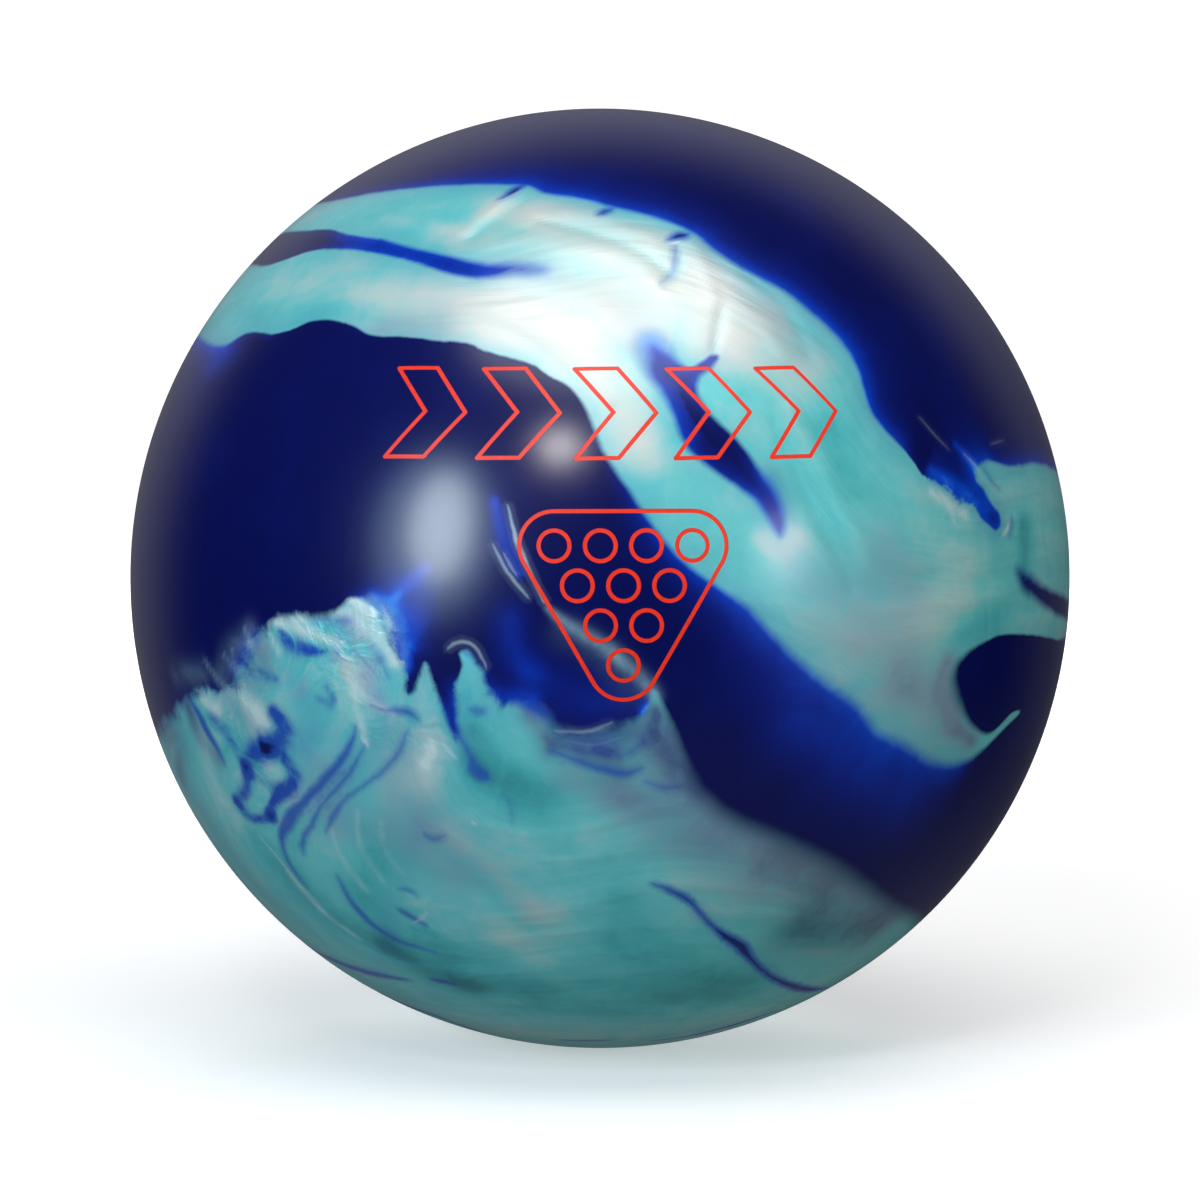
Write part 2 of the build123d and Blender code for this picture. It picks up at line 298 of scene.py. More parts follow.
TONGUE = [
    (10.4, 55.4, 4, 9, 0.2), (12.6, 55.6, 3.8, 9, 0.2), (15.6, 53.2, 2.6, 9, 0.2), (18, 50.4, 1.4, 9, 0.2),
    (20.6, 48.6, 0.7, 7, 0.2), (23.6, 50.2, 0.6, 6, 0.2), (26, 51.8, 0.6, 5, 0.2), (27.4, 51.4, 0.6, 5, 0.2),
    (26, 49, 0.7, 6, 0.2), (23, 46.6, 0.8, 7, 0.2), (22.6, 43, 0.9, 5, 0.2), (24.6, 39, 0.9, 3, 0.2),
    (28, 35.6, 0.8, 2, 0.2), (31.6, 32.2, 0.8, 2, 0.2), (34.6, 28.4, 0.9, 3, 0.2), (37.4, 24.4, 1.2, 5, 0.2),
    (40.4, 20.4, 1.5, 7, 0.2), (42.2, 16, 1.5, 8, 0.2), (42.8, 12, 1.3, 8, 0.2), (41.6, 9.2, 1, 8, 0.2),
    (40, 11.2, 1.2, 8, 0.2), (38.2, 14.6, 1.3, 7, 0.2), (35.6, 18, 1.2, 6, 0.2), (32.2, 20.6, 1, 5, 0.2),
    (28, 23.6, 0.9, 4, 0.2), (24, 26.4, 0.9, 4, 0.2), (20.6, 29.4, 1, 5, 0.2), (18.4, 33.4, 1, 7, 0.2),
    (16.6, 38, 1.1, 9, 0.2), (14, 43, 1.4, 9, 0.2), (11, 47, 2, 9, 0.2), (9.8, 51, 3.4, 9, 0.2),
    (9.4, 53.6, 4, 9, 0.2),
]

PURPLE = [
    (96, 2, 2, 3, 0.3), (99, 1.2, 1.8, 3, 0.3), (102, -1.2, 1.4, 2, 0.3), (108, -4.6, 1, 2, 0.3),
    *behind((103, -5, 1.2, 3, 0.4), (98, -6, 1.6, 3, 0.4), (102, -8, 1.2, 3, 0.4)),
    (107.6, -9.6, 1, 2, 0.3), (104, -7.6, 1.4, 2, 0.3), (100, -4.8, 1.8, 2, 0.3), (97, -1.4, 2, 3, 0.3),
]

NAVY_CAP = face(60, 80)  # in none of the outlines
MINT_PATCHES = [(BAND, NAVY_CAP), (MASS, NAVY_CAP), (COMMA, NAVY_CAP)]
BLUE_PATCHES = [(STRIPE, NAVY_CAP), (TONGUE, NAVY_CAP), (PURPLE, NAVY_CAP)]

# ---------------------------------------------------------------- strokes
# A stroke is its strength and its points: u, w and half its width in mm. Those of one layer stay apart, so
# that the nearest one is never in doubt where either shows.

INK = [
    [  # layer 1
        (0.85, (-95, -27.4, 0.3), (-92.6, -31.5, 1.3), (-90.6, -35.5, 1.5), (-88.6, -39, 1),
            (-86.6, -43, 0.1)),
        (0.85, (-56.4, -34, 0.2), (-57.4, -38, 0.9), (-60.6, -43, 1.3), (-65, -48, 1.3), (-69, -52.4, 1.5),
            (-72, -56, 1.9), (-73.4, -59.6, 1.3), (-73, -63, 0.6), (-70.6, -67.6, 0.5), (-67.6, -71.4, 0.1)),
        (0.75, (-60.6, -68.6, 0.2), (-57.6, -74.4, 1), (-53, -79.6, 1.2), (-48, -83, 0.9), (-38, -86.3, 0.3)),
        (0.85, (-68, -84.6, 0.3), (-62, -88, 1.3), (-55, -90.6, 1.7), (-49, -92, 1.3), (-43.6, -92.8, 0.3)),
        (0.95, (12, -70.4, 0.3), (16, -72, 0.9), (20, -74, 1.1), (23, -77, 0.9), (26, -80.4, 1),
            (29, -82.6, 1.5), (32, -84.6, 1.8), (35, -88, 1.3), (39, -91.6, 1.2), (44, -94, 1.6),
            (49, -95, 1.4), (52.5, -94.6, 0.3)),
        (0.95, (-23.6, 87.4, 0.1), (-21.4, 88.4, 1.2), (-19.4, 89.8, 1.5), (-17.6, 90.8, 0.8)),
        (0.95, (15.4, 78, 0.3), (17.4, 78.8, 1.4), (19.6, 79.4, 1.2), (20.6, 79.8, 0.2)),
        (0.8, (-33, -35, 0.3), (-31.6, -38, 0.5), (-30, -41, 0.6), (-28.4, -44.6, 1.9), (-26.4, -46, 1.6)),
        (0.8, *behind((60, 16, 0.2), (72, 14, 1.2), (84, 10, 0.8), (94, 8, 0.1))),
        (0.8, *behind((-8, 8, 0.2), (4, -4, 1), (14, -2, 1.1), (18, 8, 0.2))),
        (0.9, *behind((24, -70, 0.3), (6, -66, 1.6), (-14, -70, 1.4), (-36, -72, 0.9), (-52, -66, 0.2))),
    ],
    [  # layer 2
        (0.8, (-54, -38, 0.1), (-56.6, -43, 0.7), (-60, -47.6, 0.8), (-64, -52, 0.6), (-66.8, -57, 0.8),
            (-68.7, -61.8, 0.6), (-68.4, -64, 0.1)),
        (0.8, (-53, -29.2, 0.2), (-49.4, -30.6, 0.5), (-46.4, -30.6, 0.9), (-44, -31, 1), (-42, -32.8, 0.1)),
        (0.8, (-46.6, -76.4, 0.5), (-43.5, -78.2, 0.9), (-40.2, -80.2, 0.4)),
        (0.75, (-10.8, -34, 0.1), (-5.4, -34.3, 0.45), (-0.6, -33.4, 0.45), (2, -32.2, 0.1)),
        (0.8, (-11.4, -39.6, 0.2), (-7, -41.4, 0.5), (-3.5, -42.8, 0.8), (2, -44.2, 1), (6, -45, 0.9),
            (9.8, -43.8, 0.2)),
        (0.6, (-40.8, -58.6, 0.3), (-38.6, -60.2, 0.8), (-35.8, -59.3, 0.4)),
        (0.95, (-39.4, -92.4, 0.3), (-36, -93.2, 0.9), (-32.6, -93.9, 0.1)),
        (0.9, (-10, -106.6, 0.2), (-4, -106.8, 0.7), (2.6, -106.7, 0.2)),
        (0.9, (12, -106.8, 0.3), (22, -105.4, 0.9), (30, -103.4, 1.3), (36, -101.5, 1), (41, -99.8, 0.1)),
        (0.98, (-0.8, 84, 0.3), (0.8, 84.6, 1.1), (3, 85.3, 0.5)),
        (0.6, (-29.6, -30.4, 0.9), (-27.6, -30.6, 1.3), (-26.8, -30, 0.4)),
        (0.8, *behind((-62, -62, 0.2), (-44, -78, 1.1), (-20, -86, 1.3), (8, -84, 0.8), (28, -82, 0.1))),
    ],
    [  # layer 3
        (0.75, (-44.7, -35.4, 0.2), (-46.4, -40, 0.6), (-49.4, -43.8, 0.6), (-54, -47.4, 0.5),
            (-59, -51, 0.6), (-62, -55.6, 0.9), (-63.4, -59, 0.1)),
        (0.6, (-66.4, -8.9, 0.1), (-61, -9.7, 0.6), (-56.6, -9.4, 0.1)),
        (0.6, (-57, -16.4, 0.1), (-53, -20.8, 0.45), (-50.8, -24, 0.1)),
        (0.6, (-51, -18.6, 0.1), (-49.6, -21.4, 0.4), (-48.8, -23.4, 0.1)),
        (0.6, (-46.6, -71.8, 0.3), (-44.4, -71.9, 0.9), (-42, -73.2, 0.3)),
        (0.95, (-53, -95.2, 0.2), (-45, -98.5, 1.2), (-38, -101, 1.2), (-30, -104, 0.8), (-25, -105.4, 0.1)),
        (0.35, (-22, -49.6, 0.1), (-20.6, -52.6, 0.5), (-20.4, -56.6, 0.1)),
        (0.6, (10.4, -46.8, 0.2), (14, -48.2, 0.6), (18.6, -48.2, 0.2)),
        (0.5, (-9, -42.6, 0.1), (-3, -40.2, 0.35), (6, -40.6, 0.3), (11, -37, 0.1)),
        (0.6, (-10, -36.2, 0.1), (-3, -36.6, 0.3), (4.4, -34.4, 0.1)),
        (0.5, (17.2, 77, 0.6), (17.4, 73, 0.8), (16.4, 70, 0.7), (13.6, 68, 0.1)),
        (0.6, (88.6, 25.4, 0.2), (90.4, 22.8, 0.5), (92.4, 20.6, 0.1)),
        (0.6, (95, 14.6, 0.2), (95.2, 12.6, 0.5), (94.4, 9.6, 0.1)),
        (0.7, (-26, -26.4, 0.5), (-22.6, -26, 1.5), (-18, -27.4, 1.1), (-15.6, -28.6, 0.2)),
    ],
]

# Near-white strokes: pale wisps in the resin, and painted glints. The short marks under the pits and the tiny
# dots in the lower mass are painted highlights.
WISPS_AND_GLINTS = [
    [  # layer 1
        (0.42, (-35.2, -16.4, 0.1), (-33.6, -15.1, 0.3), (-31.2, -14.7, 0.35), (-28.8, -16, 0.3),
            (-27.4, -18.4, 0.2), (-26.2, -20.8, 0.1)),
        (0.6, (-21.4, 17, 0.1), (-20.4, 13, 0.3), (-19.4, 9, 0.45), (-18, 5.4, 0.4), (-16.2, 1.6, 0.3),
            (-14.4, -2.4, 0.2), (-12.6, -5.6, 0.1)),
        (0.25, (-10.8, -35.2, 0.1), (-6, -35.6, 0.3), (-1, -34.8, 0.35), (2.8, -33.2, 0.1)),
        (0.1, (73.6, 37.4, 0.1), (77, 33.6, 0.3), (80.6, 29.6, 0.1)),
        (0.4, (-79, -59, 0.2), (-74, -65, 0.6), (-70, -70, 0.5), (-64.6, -75.4, 0.1)),
        (0.45, (-24.4, 86.6, 0.1), (-21.6, 87.8, 0.6), (-19, 89, 0.5), (-17.4, 90, 0.1)),
        (0.8, (15.2, 77, 0.1), (17, 77.4, 0.4), (19, 77.8, 0.1)),
        (0.7, (92.8, 9.6, 0.1), (94, 11.6, 0.6), (94.4, 13.4, 0.1)),
        (0.6, (-29.6, -56.3, 0.4), (-29, -56.7, 0.5)),
        (0.6, (-55.2, -36.6, 0.5), (-54, -38, 0.6), (-53.6, -39, 0.2)),
    ],
    [  # layer 2
        (0.45, (-24.8, 8, 0.1), (-23.2, 4.6, 0.3), (-20.8, 1, 0.3), (-18, -2.6, 0.25), (-16.4, -4.6, 0.1)),
        (0.2, (84, 29, 0.1), (86.4, 26.4, 0.4), (88.4, 23, 0.1)),
        (0.6, (-36.6, -38, 0.4), (-34.8, -40, 0.5), (-33, -42, 0.1)),
        (0.3, (78, 20.4, 0.1), (80, 18.2, 0.6), (81.4, 14.6, 0.9), (82.2, 12, 0.1)),
        (0.1, (90, 31, 0.1), (91.6, 31.4, 0.25), (93.4, 32, 0.1)),
        (0.45, (-43, -79.6, 0.2), (-40.6, -78, 0.5), (-40, -77, 0.1)),
        (0.3, *behind((26, 29, 0.1), (14, 28, 0.4), (6, 25, 0.1))),
        (0.25, *behind((-66, 9, 0.1), (-73, 13, 0.4), (-78, 18, 0.1))),
    ],
    [  # layer 3
        (0.1, (-8.4, -37.4, 0.1), (-2, -38.4, 0.3), (5, -36.8, 0.1)),
        (0.35, (-22.4, 6, 0.1), (-20.6, 3, 0.25), (-19, 0.6, 0.1)),
        (0.9, (-66.8, -11.4, 0.3), (-66.2, -11.6, 0.4)),
        (0.9, (-59.8, -14.6, 0.3), (-59.2, -14.4, 0.4)),
        (0.9, (-54.6, -37.4, 0.5), (-54.2, -37.8, 0.5)),
        (0.8, (-78.6, -32.2, 0.3), (-77.8, -33.4, 0.4)),
        (0.95, (-40.4, -38.4, 0.5), (-39.6, -39, 0.6)),
        (0.95, (-40, -42.8, 0.4), (-39.4, -43.4, 0.5)),
    ],
]

# ---------------------------------------------------------------- blots
# A blot is a soft stroke: its strength and its points, u, w and how far from its line it is at half strength.

GLOWS = [
    (0.6, (-52, -4, 1.2), (-47.8, -6, 1.8), (-45.4, -10, 2), (-44.4, -15, 1.7), (-44.4, -21, 1)),
    (0.5, (-47, -4, 1.2), (-43, -0.4, 1.4), (-40, 2.4, 1)),
    (0.4, (-46, -1.6, 3), (-42, 0, 3), (-41.6, -8, 3), (-41.6, -15, 2)),
    (0.28, (46, -34, 6), (60, -44, 7), (70, -52, 6)),
    (0.5, (8, 60, 4), (12, 55, 3.4)),
    (0.4, (-21, -10, 3), (-20, -16, 3.4), (-17, -21, 3)),
    (0.75, (-24.4, 18, 1), (-23, 12, 1.7), (-21, 6, 1.7), (-18.4, 1, 1)),
    (0.3, (-14, -24, 4), (-4, -28, 5), (6, -29, 4)),
    (1, (11, -29.6, 0.8), (9.8, -31, 0.8)),
    (0.35, (-24, -27.2, 1.2), (-20, -27, 1.8), (-15, -27.6, 1.2)),
    (0.5, (76, 25.4, 0.8), (80, 23, 1.2), (85, 20, 1.6), (89, 16, 1.4)),
    (0.6, (82, 31, 0.8), (86, 26.4, 1.2), (89, 22, 1)),
    (0.4, (-80, -14, 2.5), (-84, -20, 2.5)),
    (0.25, (-90, 49, 3), (-84, 52, 3)),
    (0.3, (-74, -44, 5), (-66, -56, 4)),
]

# Paler pearl above 0, and darker, more teal pearl below 0, most of it in the lower part of the ball. Part of
# it is painted highlight: the broad pale patch across the band where the top lamp's reflection falls, and the
# pale patch round the right lamp's reflection.
CREAM_AND_SHEEN = [
    (0.35, (-74, 66, 5), (-58, 70, 6)),
    (0.35, (-48, 64, 6), (-36, 64, 8), (-24, 62, 9)),
    (0.85, (-22, 63, 9), (-8, 63, 12), (8, 62, 13), (20, 66, 10), (27, 56, 7)),
    (1, (-24, 85, 4), (-15, 84.4, 5)),
    (0.5, (-38, 79.4, 3), (-27, 79.4, 3.5)),
    (0.3, (-54, 66, 4), (-40, 63, 5), (-26, 58, 5), (-12, 52, 4)),
    (0.3, (40, 60, 4), (50, 51, 4)),
    (0.3, (10, 31, 3), (12, 26, 3)),
    (0.3, (46, 15, 4), (48, 8, 4)),
    (0.6, (-6, 82, 6), (10, 77.6, 6)),
    (0.4, (26, 70, 6), (37, 61, 5)),
    (0.7, (-6, 50, 6), (4, 42, 6), (8, 32, 5)),
    (0.5, (37.6, 9, 2.2), (41, 6.4, 2.8), (45, 10, 2)),
    (0.45, (36, 52, 6), (46, 46, 6)),
    (0.3, (80, 8, 6), (84, 2, 8), (76, -6, 8)),
    (0.3, (60, -16, 10), (74, -28, 8)),
    (0.3, (-56, -6, 4), (-54, -12, 4), (-57, -24, 4)),
    (0.35, (-39, -38, 4), (-42, -46, 5)),
    (0.15, (-36, -60, 3.5), (-26, -67, 4.5), (-14, -77, 4)),
    (-0.6, (-30, -36, 4), (-26, -44, 6), (-14, -50, 6)),
    (-0.45, (-52, -62, 6), (-54, -74, 6)),
    (-0.75, (-48, -86, 4), (-38, -91, 5), (-30, -94, 4)),
    (-0.4, (-8, -92, 5), (16, -97, 5)),
    (-0.4, (4, -74, 6), (8, -84, 8), (26, -92, 6)),
    (0.3, (-20, -84, 4), (0, -96, 5), (16, -99, 4)),
    (-0.35, (54, 32, 6), (58, 24, 7), (50, 16, 8)),
    (-0.3, (-66, 62, 4), (-80, 60, 4)),
    (-0.5, (84, -12, 3), (92, -10, 4)),
    (-0.6, (98, 12, 3), (98, 4, 3)),
    (0.5, *behind((60, 18, 8), (84, 12, 8))),
    (0.6, *behind((-20, -14, 6), (8, -10, 8), (16, 10, 8))),
    (0.5, *behind((-60, 50, 8), (-30, 40, 6))),
    (0.15, (-20, -58, 6), (-4, -56, 8)),
    (-0.4, (-74, -66, 7), (-60, -80, 8), (-40, -84, 6), (-20, -94, 7), (10, -100, 7), (34, -94, 7)),
    (-0.5, *behind((20, -74, 9), (-30, -74, 9))),
]

GREYS = [
    (0.5, (-8, -46, 3), (5, -50, 4)),
    (1, (81.6, -34.4, 2.2), (85.6, -37.6, 2.2)),
    (0.5, (-48, -58, 5), (-34, -68, 5)),
    (0.9, (14, -38, 5), (22, -50, 6), (36, -61, 6), (50, -68, 7), (66, -79, 7)),
    (0.5, (4, -50, 5), (18, -60, 6), (36, -72, 6)),
    (0.6, (72, -26, 6), (79, -33, 5)),
    (1, (80.5, -19, 2.2), (79, -25, 2.6), (81.5, -31.5, 2.2)),
    (0.6, (46, 2, 6), (58, -8, 8), (68, -20, 8)),
    (0.5, (66, 6, 6), (72, -2, 6)),
    (0.5, (-50, 58, 3), (-38, 58, 4)),
    (0.6, (-46, -38, 5), (-44, -48, 6), (-40, -56, 5)),
    (0.4, (38, 62, 6), (46, 54, 6)),
    (0.6, (-82, -30, 5), (-78, -16, 4)),
    (0.4, (-64, -48, 6), (-60, -56, 5)),
    (0.3, (-30, -62, 5), (-16, -76, 4)),
    (0.5, *behind((60, -76, 8), (20, -60, 6), (-40, -56, 8))),
    (0.4, *behind((66, 12, 8), (-40, 36, 8))),
]

MISTS = [
    (0.34, (-12, -7, 0.6), (-9, -9.6, 0.9), (-5, -12.2, 1.2), (-1, -14.6, 1.3), (3.4, -17.4, 1.3),
        (7.4, -21, 1.3), (10.4, -24, 1.3), (12.6, -27, 1.2)),
    (0.05, (-8, -13, 3), (2, -19, 3), (8, -26, 3)),
    (0.25, (-53, -4.4, 0.8), (-50, -6.8, 1), (-47.8, -10, 1.2), (-46.2, -15, 1), (-45.6, -20, 0.8)),
    (0.16, (-81, -12, 2), (-84, -17, 3), (-87, -22, 2.6)),
    (0.26, (-80, -25, 0.9), (-83.6, -21.4, 1), (-87, -17.4, 0.4)),
    (0.26, (-78.6, -19, 0.9), (-80.6, -15.6, 0.8), (-82, -11.6, 0.3)),
    (0.22, (-86, -26, 0.9), (-89, -22.4, 0.8), (-91.6, -18.4, 0.3)),
    (0.3, (-84.8, -16.6, 0.4), (-84.2, -20, 0.4)),
    (0.12, (-92, -22, 2.5), (-98, -22, 2.5)),
]

# Where the mint thins and the blue shows through, darker. The two at the lower right are painted shade: the
# mint is made darker there, where the light falls off towards the bottom.
VEILS_AND_SHADE = [
    (0.14, (-14, 70.8, 2.5), (-4, 67.5, 4), (6, 63, 5)),
    (0.3, (40, -66, 5), (52, -73, 6)),
    (0.6, (46, -81, 7), (62, -81, 7)),
    (0.45, (41, 17, 3), (39, 22, 3)),
]

# Royal blue that shows through the mint, up to navy where it is strongest
SMOKE = [
    (1.1, (-73.8, -12.6, 0.9), (-71.6, -15, 1.9), (-67.6, -16.6, 1.5), (-63.6, -16.8, 0.6)),
    (0.75, (-81, -21.8, 1), (-78, -22, 1.4), (-75, -23.4, 1)),
    (0.6, (-63.4, -24.6, 0.8), (-61.6, -27.8, 1.1)),
    (0.5, (-65.4, -27.4, 0.7), (-62.4, -29.4, 0.9)),
    (0.55, (-52.4, -15.8, 1.3), (-50.6, -18.8, 1.4)),
    (0.35, (-66, -9.8, 1.2), (-58, -9.6, 1)),
    (0.8, (-90, -32.4, 1.6), (-86.6, -35.2, 2.2), (-84.4, -39, 1.8)),
    (1.15, (-75.4, -31, 1.8), (-73, -34.8, 2.4), (-75, -38.4, 2.8), (-79, -39.8, 2.8), (-81.6, -43, 2.2)),
    (0.9, (-77.2, -39.2, 1.6), (-76.6, -39.5, 1.6)),
    (0.9, (-82, -43, 1.4), (-81.4, -47.6, 1.8), (-83.6, -51.4, 1.6)),
    (1.1, (-73, -41.4, 1.3), (-70.6, -45, 1.9), (-72.4, -48.6, 1.6), (-75, -51, 1.4), (-76.4, -54.6, 1.3)),
    (0.5, (-80, -45.8, 1.2), (-76.6, -47.6, 1.5), (-73.6, -48.6, 1.2)),
    (1.05, (-84, -51.6, 1.3), (-82, -54.2, 1.6), (-78.6, -55.6, 1.4), (-75.6, -55, 1.4)),
    (0.4, (-57, -36, 1.7), (-60.6, -43, 2.4), (-66, -49.6, 2.6), (-71, -55.6, 3), (-73, -61, 2)),
    (0.25, (-54, -38, 2), (-60, -47, 2.4), (-65, -54, 2.4), (-68, -61, 2)),
    (0.22, (-50, -33, 4), (-52, -42, 5), (-58, -50, 5), (-62, -58, 4)),
    (0.4, (-70, -24, 4), (-66, -32, 5), (-68, -40, 4)),
    (0.35, (-62, -19, 3), (-58, -12, 3), (-52, -26, 3)),
    (0.4, (-6, -38, 3), (4, -38, 3)),
    (0.45, (-68, -84.6, 1.6), (-60, -88.6, 2.4), (-52, -91, 2.4), (-44, -92.8, 1.2)),
    (0.3, (-60.6, -68.6, 1.4), (-57.6, -74.4, 2), (-53, -79.6, 2.2), (-46, -84, 1.8)),
    (0.25, (-50, -90, 4), (-42, -58, 3)),
    (0.5, (-31, -39, 1.2), (-28.6, -44.6, 2.6), (-26, -46, 1.8)),
    (0.7, (-31.4, -17, 0.6), (-27.4, -19.4, 1.1), (-23.6, -22.6, 1.2)),
    (0.8, (-25.6, -23.6, 1.1), (-21, -26.6, 2), (-15, -29, 2.2), (-10.6, -31.8, 2.2)),
    (0.6, (-28.4, -30.4, 1.4), (-27, -30.6, 1.4)),
    (0.4, (20, -74, 2.2), (28, -82, 2.6), (35, -88, 2.4), (46, -95, 2)),
    (0.5, (-53, -95.2, 1.2), (-45, -98.5, 2.4), (-38, -101, 2.4), (-28, -104.4, 1.4)),
]

# Thin, greyish mint that the blue shows through evenly
SLATE = [
    (0.85, (-8.4, -37.6, 2.8), (-3, -39.2, 4), (4, -39.2, 4.2), (9, -37, 3.6)),
    (0.8, (12.8, -31, 2), (15, -37, 3), (18.4, -44, 3.4), (22, -49, 2.6)),
    (0.5, (-16.6, -32, 2), (-13, -35.6, 2.4), (-12, -40, 2)),
    (0.3, (4, -48, 4), (16, -54, 5), (28, -60, 4)),
    (0.3, (-78, -17, 2.4), (-76.6, -22, 2)),
    (0.5, (-101, -36, 4), (-97, -37, 3.4), (-97, -46, 3)),
    (0.85, (-95, -30, 2.6), (-92.6, -36, 2.6), (-88.6, -41, 2.4)),
    (0.3, (83, -34.6, 1.8), (86.6, -37.6, 1.6)),
    (0.2, (-94, -50, 5), (-86, -62, 6), (-76, -74, 6)),
]

# Cream that lies over the mint
MILK = [
    (0.7, (76.6, 20, 0.9), (80.4, 17.2, 1.2), (84.4, 14.8, 1)),
    (1.2, (-58, -4.6, 0.5), (-55.4, -6.2, 0.9), (-52.6, -8, 1)),
    (0.87, (-76, -9.2, 0.7), (-71, -11.4, 1), (-66, -13, 1.1), (-60, -15.2, 0.9)),
    (0.87, (-57.4, -9.4, 1.8), (-53.6, -11.4, 2.2), (-49.6, -15.2, 1.8), (-47.4, -19.4, 1.2)),
    (0.51, (-75.7, -9, 1.1), (-68, -8.8, 1.1), (-60, -8, 1.2)),
    (0.58, (-76.8, -10.4, 0.5), (-75.9, -13.6, 0.5), (-74.2, -17, 0.7)),
    (0.72, (-58, -22.6, 0.7), (-55, -26, 1), (-51.6, -29.2, 0.8), (-48, -31, 0.5)),
    (0.72, (-57, -25, 0.8), (-56.2, -30, 0.9), (-54, -37.6, 0.6)),
    (0.87, (-92, -27.6, 1.1), (-88.6, -30.4, 1.7)),
    (0.94, (-82.4, -27.4, 2), (-80, -30, 2.4), (-77.8, -33.2, 1.6)),
    (0.58, (-76.6, -43.2, 1.2), (-74.8, -44.2, 1.3)),
    (1, (-38.8, -38.2, 0.8), (-39, -40.4, 0.9), (-40.4, -43, 0.8)),
    (0.43, (-39, -40, 3), (-42, -46, 4)),
    (0.72, (-50, -7.2, 0.5), (-47.6, -12, 0.8), (-45.9, -19, 0.5)),
    (0.4, (-91, -38, 3.4), (-89.6, -46, 3.4), (-84, -56, 3)),
    (0.24, (-62, -58, 0.5), (-60, -64, 0.6), (-54, -72, 0.6)),
    (0.22, (-56, -54, 0.5), (-55.4, -62, 0.6), (-50, -70, 0.6)),
    (0.18, (-50.6, -56, 0.5), (-50, -62, 0.6), (-45.6, -68, 0.6)),
    (0.43, (-72, -68, 0.7), (-66, -75, 0.8), (-56, -83, 0.7)),
]

# Folds of the pearl: ridges are above 0 and valleys below. Besides their bump, they are painted paler on the
# ridges and darker in the valleys: painted highlight and painted shade of the folds.
RIDGES_AND_SHADING = [
    (0.7, (-34, 78.5, 1.6), (-27.6, 83.6, 1.8), (-21.8, 87.8, 1.2)),
    (-0.8, (-29, 78.6, 1.8), (-22.6, 83.6, 2.2), (-17.4, 87.4, 1.4)),
    (0.7, (-32, 76.4, 2.2), (-16, 78, 2.6), (0, 75, 2.6), (10, 70.6, 2.2), (15, 66.4, 1.8)),
    (-0.7, (-14, 82.8, 1.2), (0, 79, 1.4), (10, 75.2, 1.5), (15.6, 70.8, 1.1)),
    (0.5, (-8, 85, 1.6), (6, 81, 1.8), (13, 78.4, 1.2)),
    (-0.8, (18, 76, 1.2), (18.2, 72, 1.3), (15, 68, 1.1)),
    (0.6, (22, 77, 1.6), (24.6, 71, 2), (26.4, 65, 1.6)),
    (-0.7, (28, 62, 1.2), (27.2, 57, 1.3), (26.4, 53, 1)),
    (0.6, (30, 66, 1.8), (37, 60, 2.2), (42, 52, 1.8)),
    (-0.5, (34, 70, 1.5), (43, 62, 1.7), (48, 52, 1.5)),
    (0.6, (-42, 66, 1.6), (-28, 63, 1.8), (-14, 57.6, 1.8), (-4, 50, 1.6), (2, 41, 1.3)),
    (-0.5, (-40, 61.5, 1), (-27, 59, 1.2), (-14, 53, 1.2), (-6, 46, 1)),
    (-0.5, (-30, 68.5, 1.4), (-14, 65, 1.6), (0, 59, 1.4), (6, 51, 1.1)),
    (0.5, (-50, 83, 1.8), (-38, 81.5, 1.8), (-30, 80, 1.2)),
    (0.5, (44, 40, 1.4), (50, 28, 1.8), (56, 16, 1.8), (62, 4, 1.8)),
    (-0.4, (40, 36, 1.2), (46, 22, 1.4), (52, 10, 1.4), (58, -2, 1.4)),
    (0.5, (-36.5, -58, 2), (-26, -66, 2.4), (-12.4, -79, 2)),
    (-0.4, (-40, -61, 1.8), (-30, -69.6, 2.2), (-16, -82, 1.8)),
]

# Where the resins are stirred into a broken mix
WILD = [
    (1, (-84, -30, 9), (-80, -44, 9), (-74, -54, 7)),
    (0.9, (-80, -17, 7), (-68, -14, 6), (-56, -12, 6)),
    (0.6, (-58, -26, 7), (-50, -36, 7)),
    (0.5, (-38, -38, 5), (-34, -28, 4)),
    (0.5, (-22, -27, 4), (-12, -33, 4)),
    (0.5, (80, 24, 5), (88, 20, 5)),
    (0.4, (-44, -74, 4), (-40, -82, 4)),
    (0.6, *behind((-10, -40, 8), (20, -60, 8), (48, 10, 8))),
]

BLOTS = {
    "cream_and_sheen": CREAM_AND_SHEEN, "veil_and_shade": VEILS_AND_SHADE, "grey": GREYS, "mist": MISTS, "wild": WILD, "smoke": SMOKE, "slate": SLATE,
    "milk": MILK, "relief_and_shading": RIDGES_AND_SHADING,
}

# ---------------------------------------------------------------- flow
# The lines that the streaks run along: each is its height in the flow and its points.

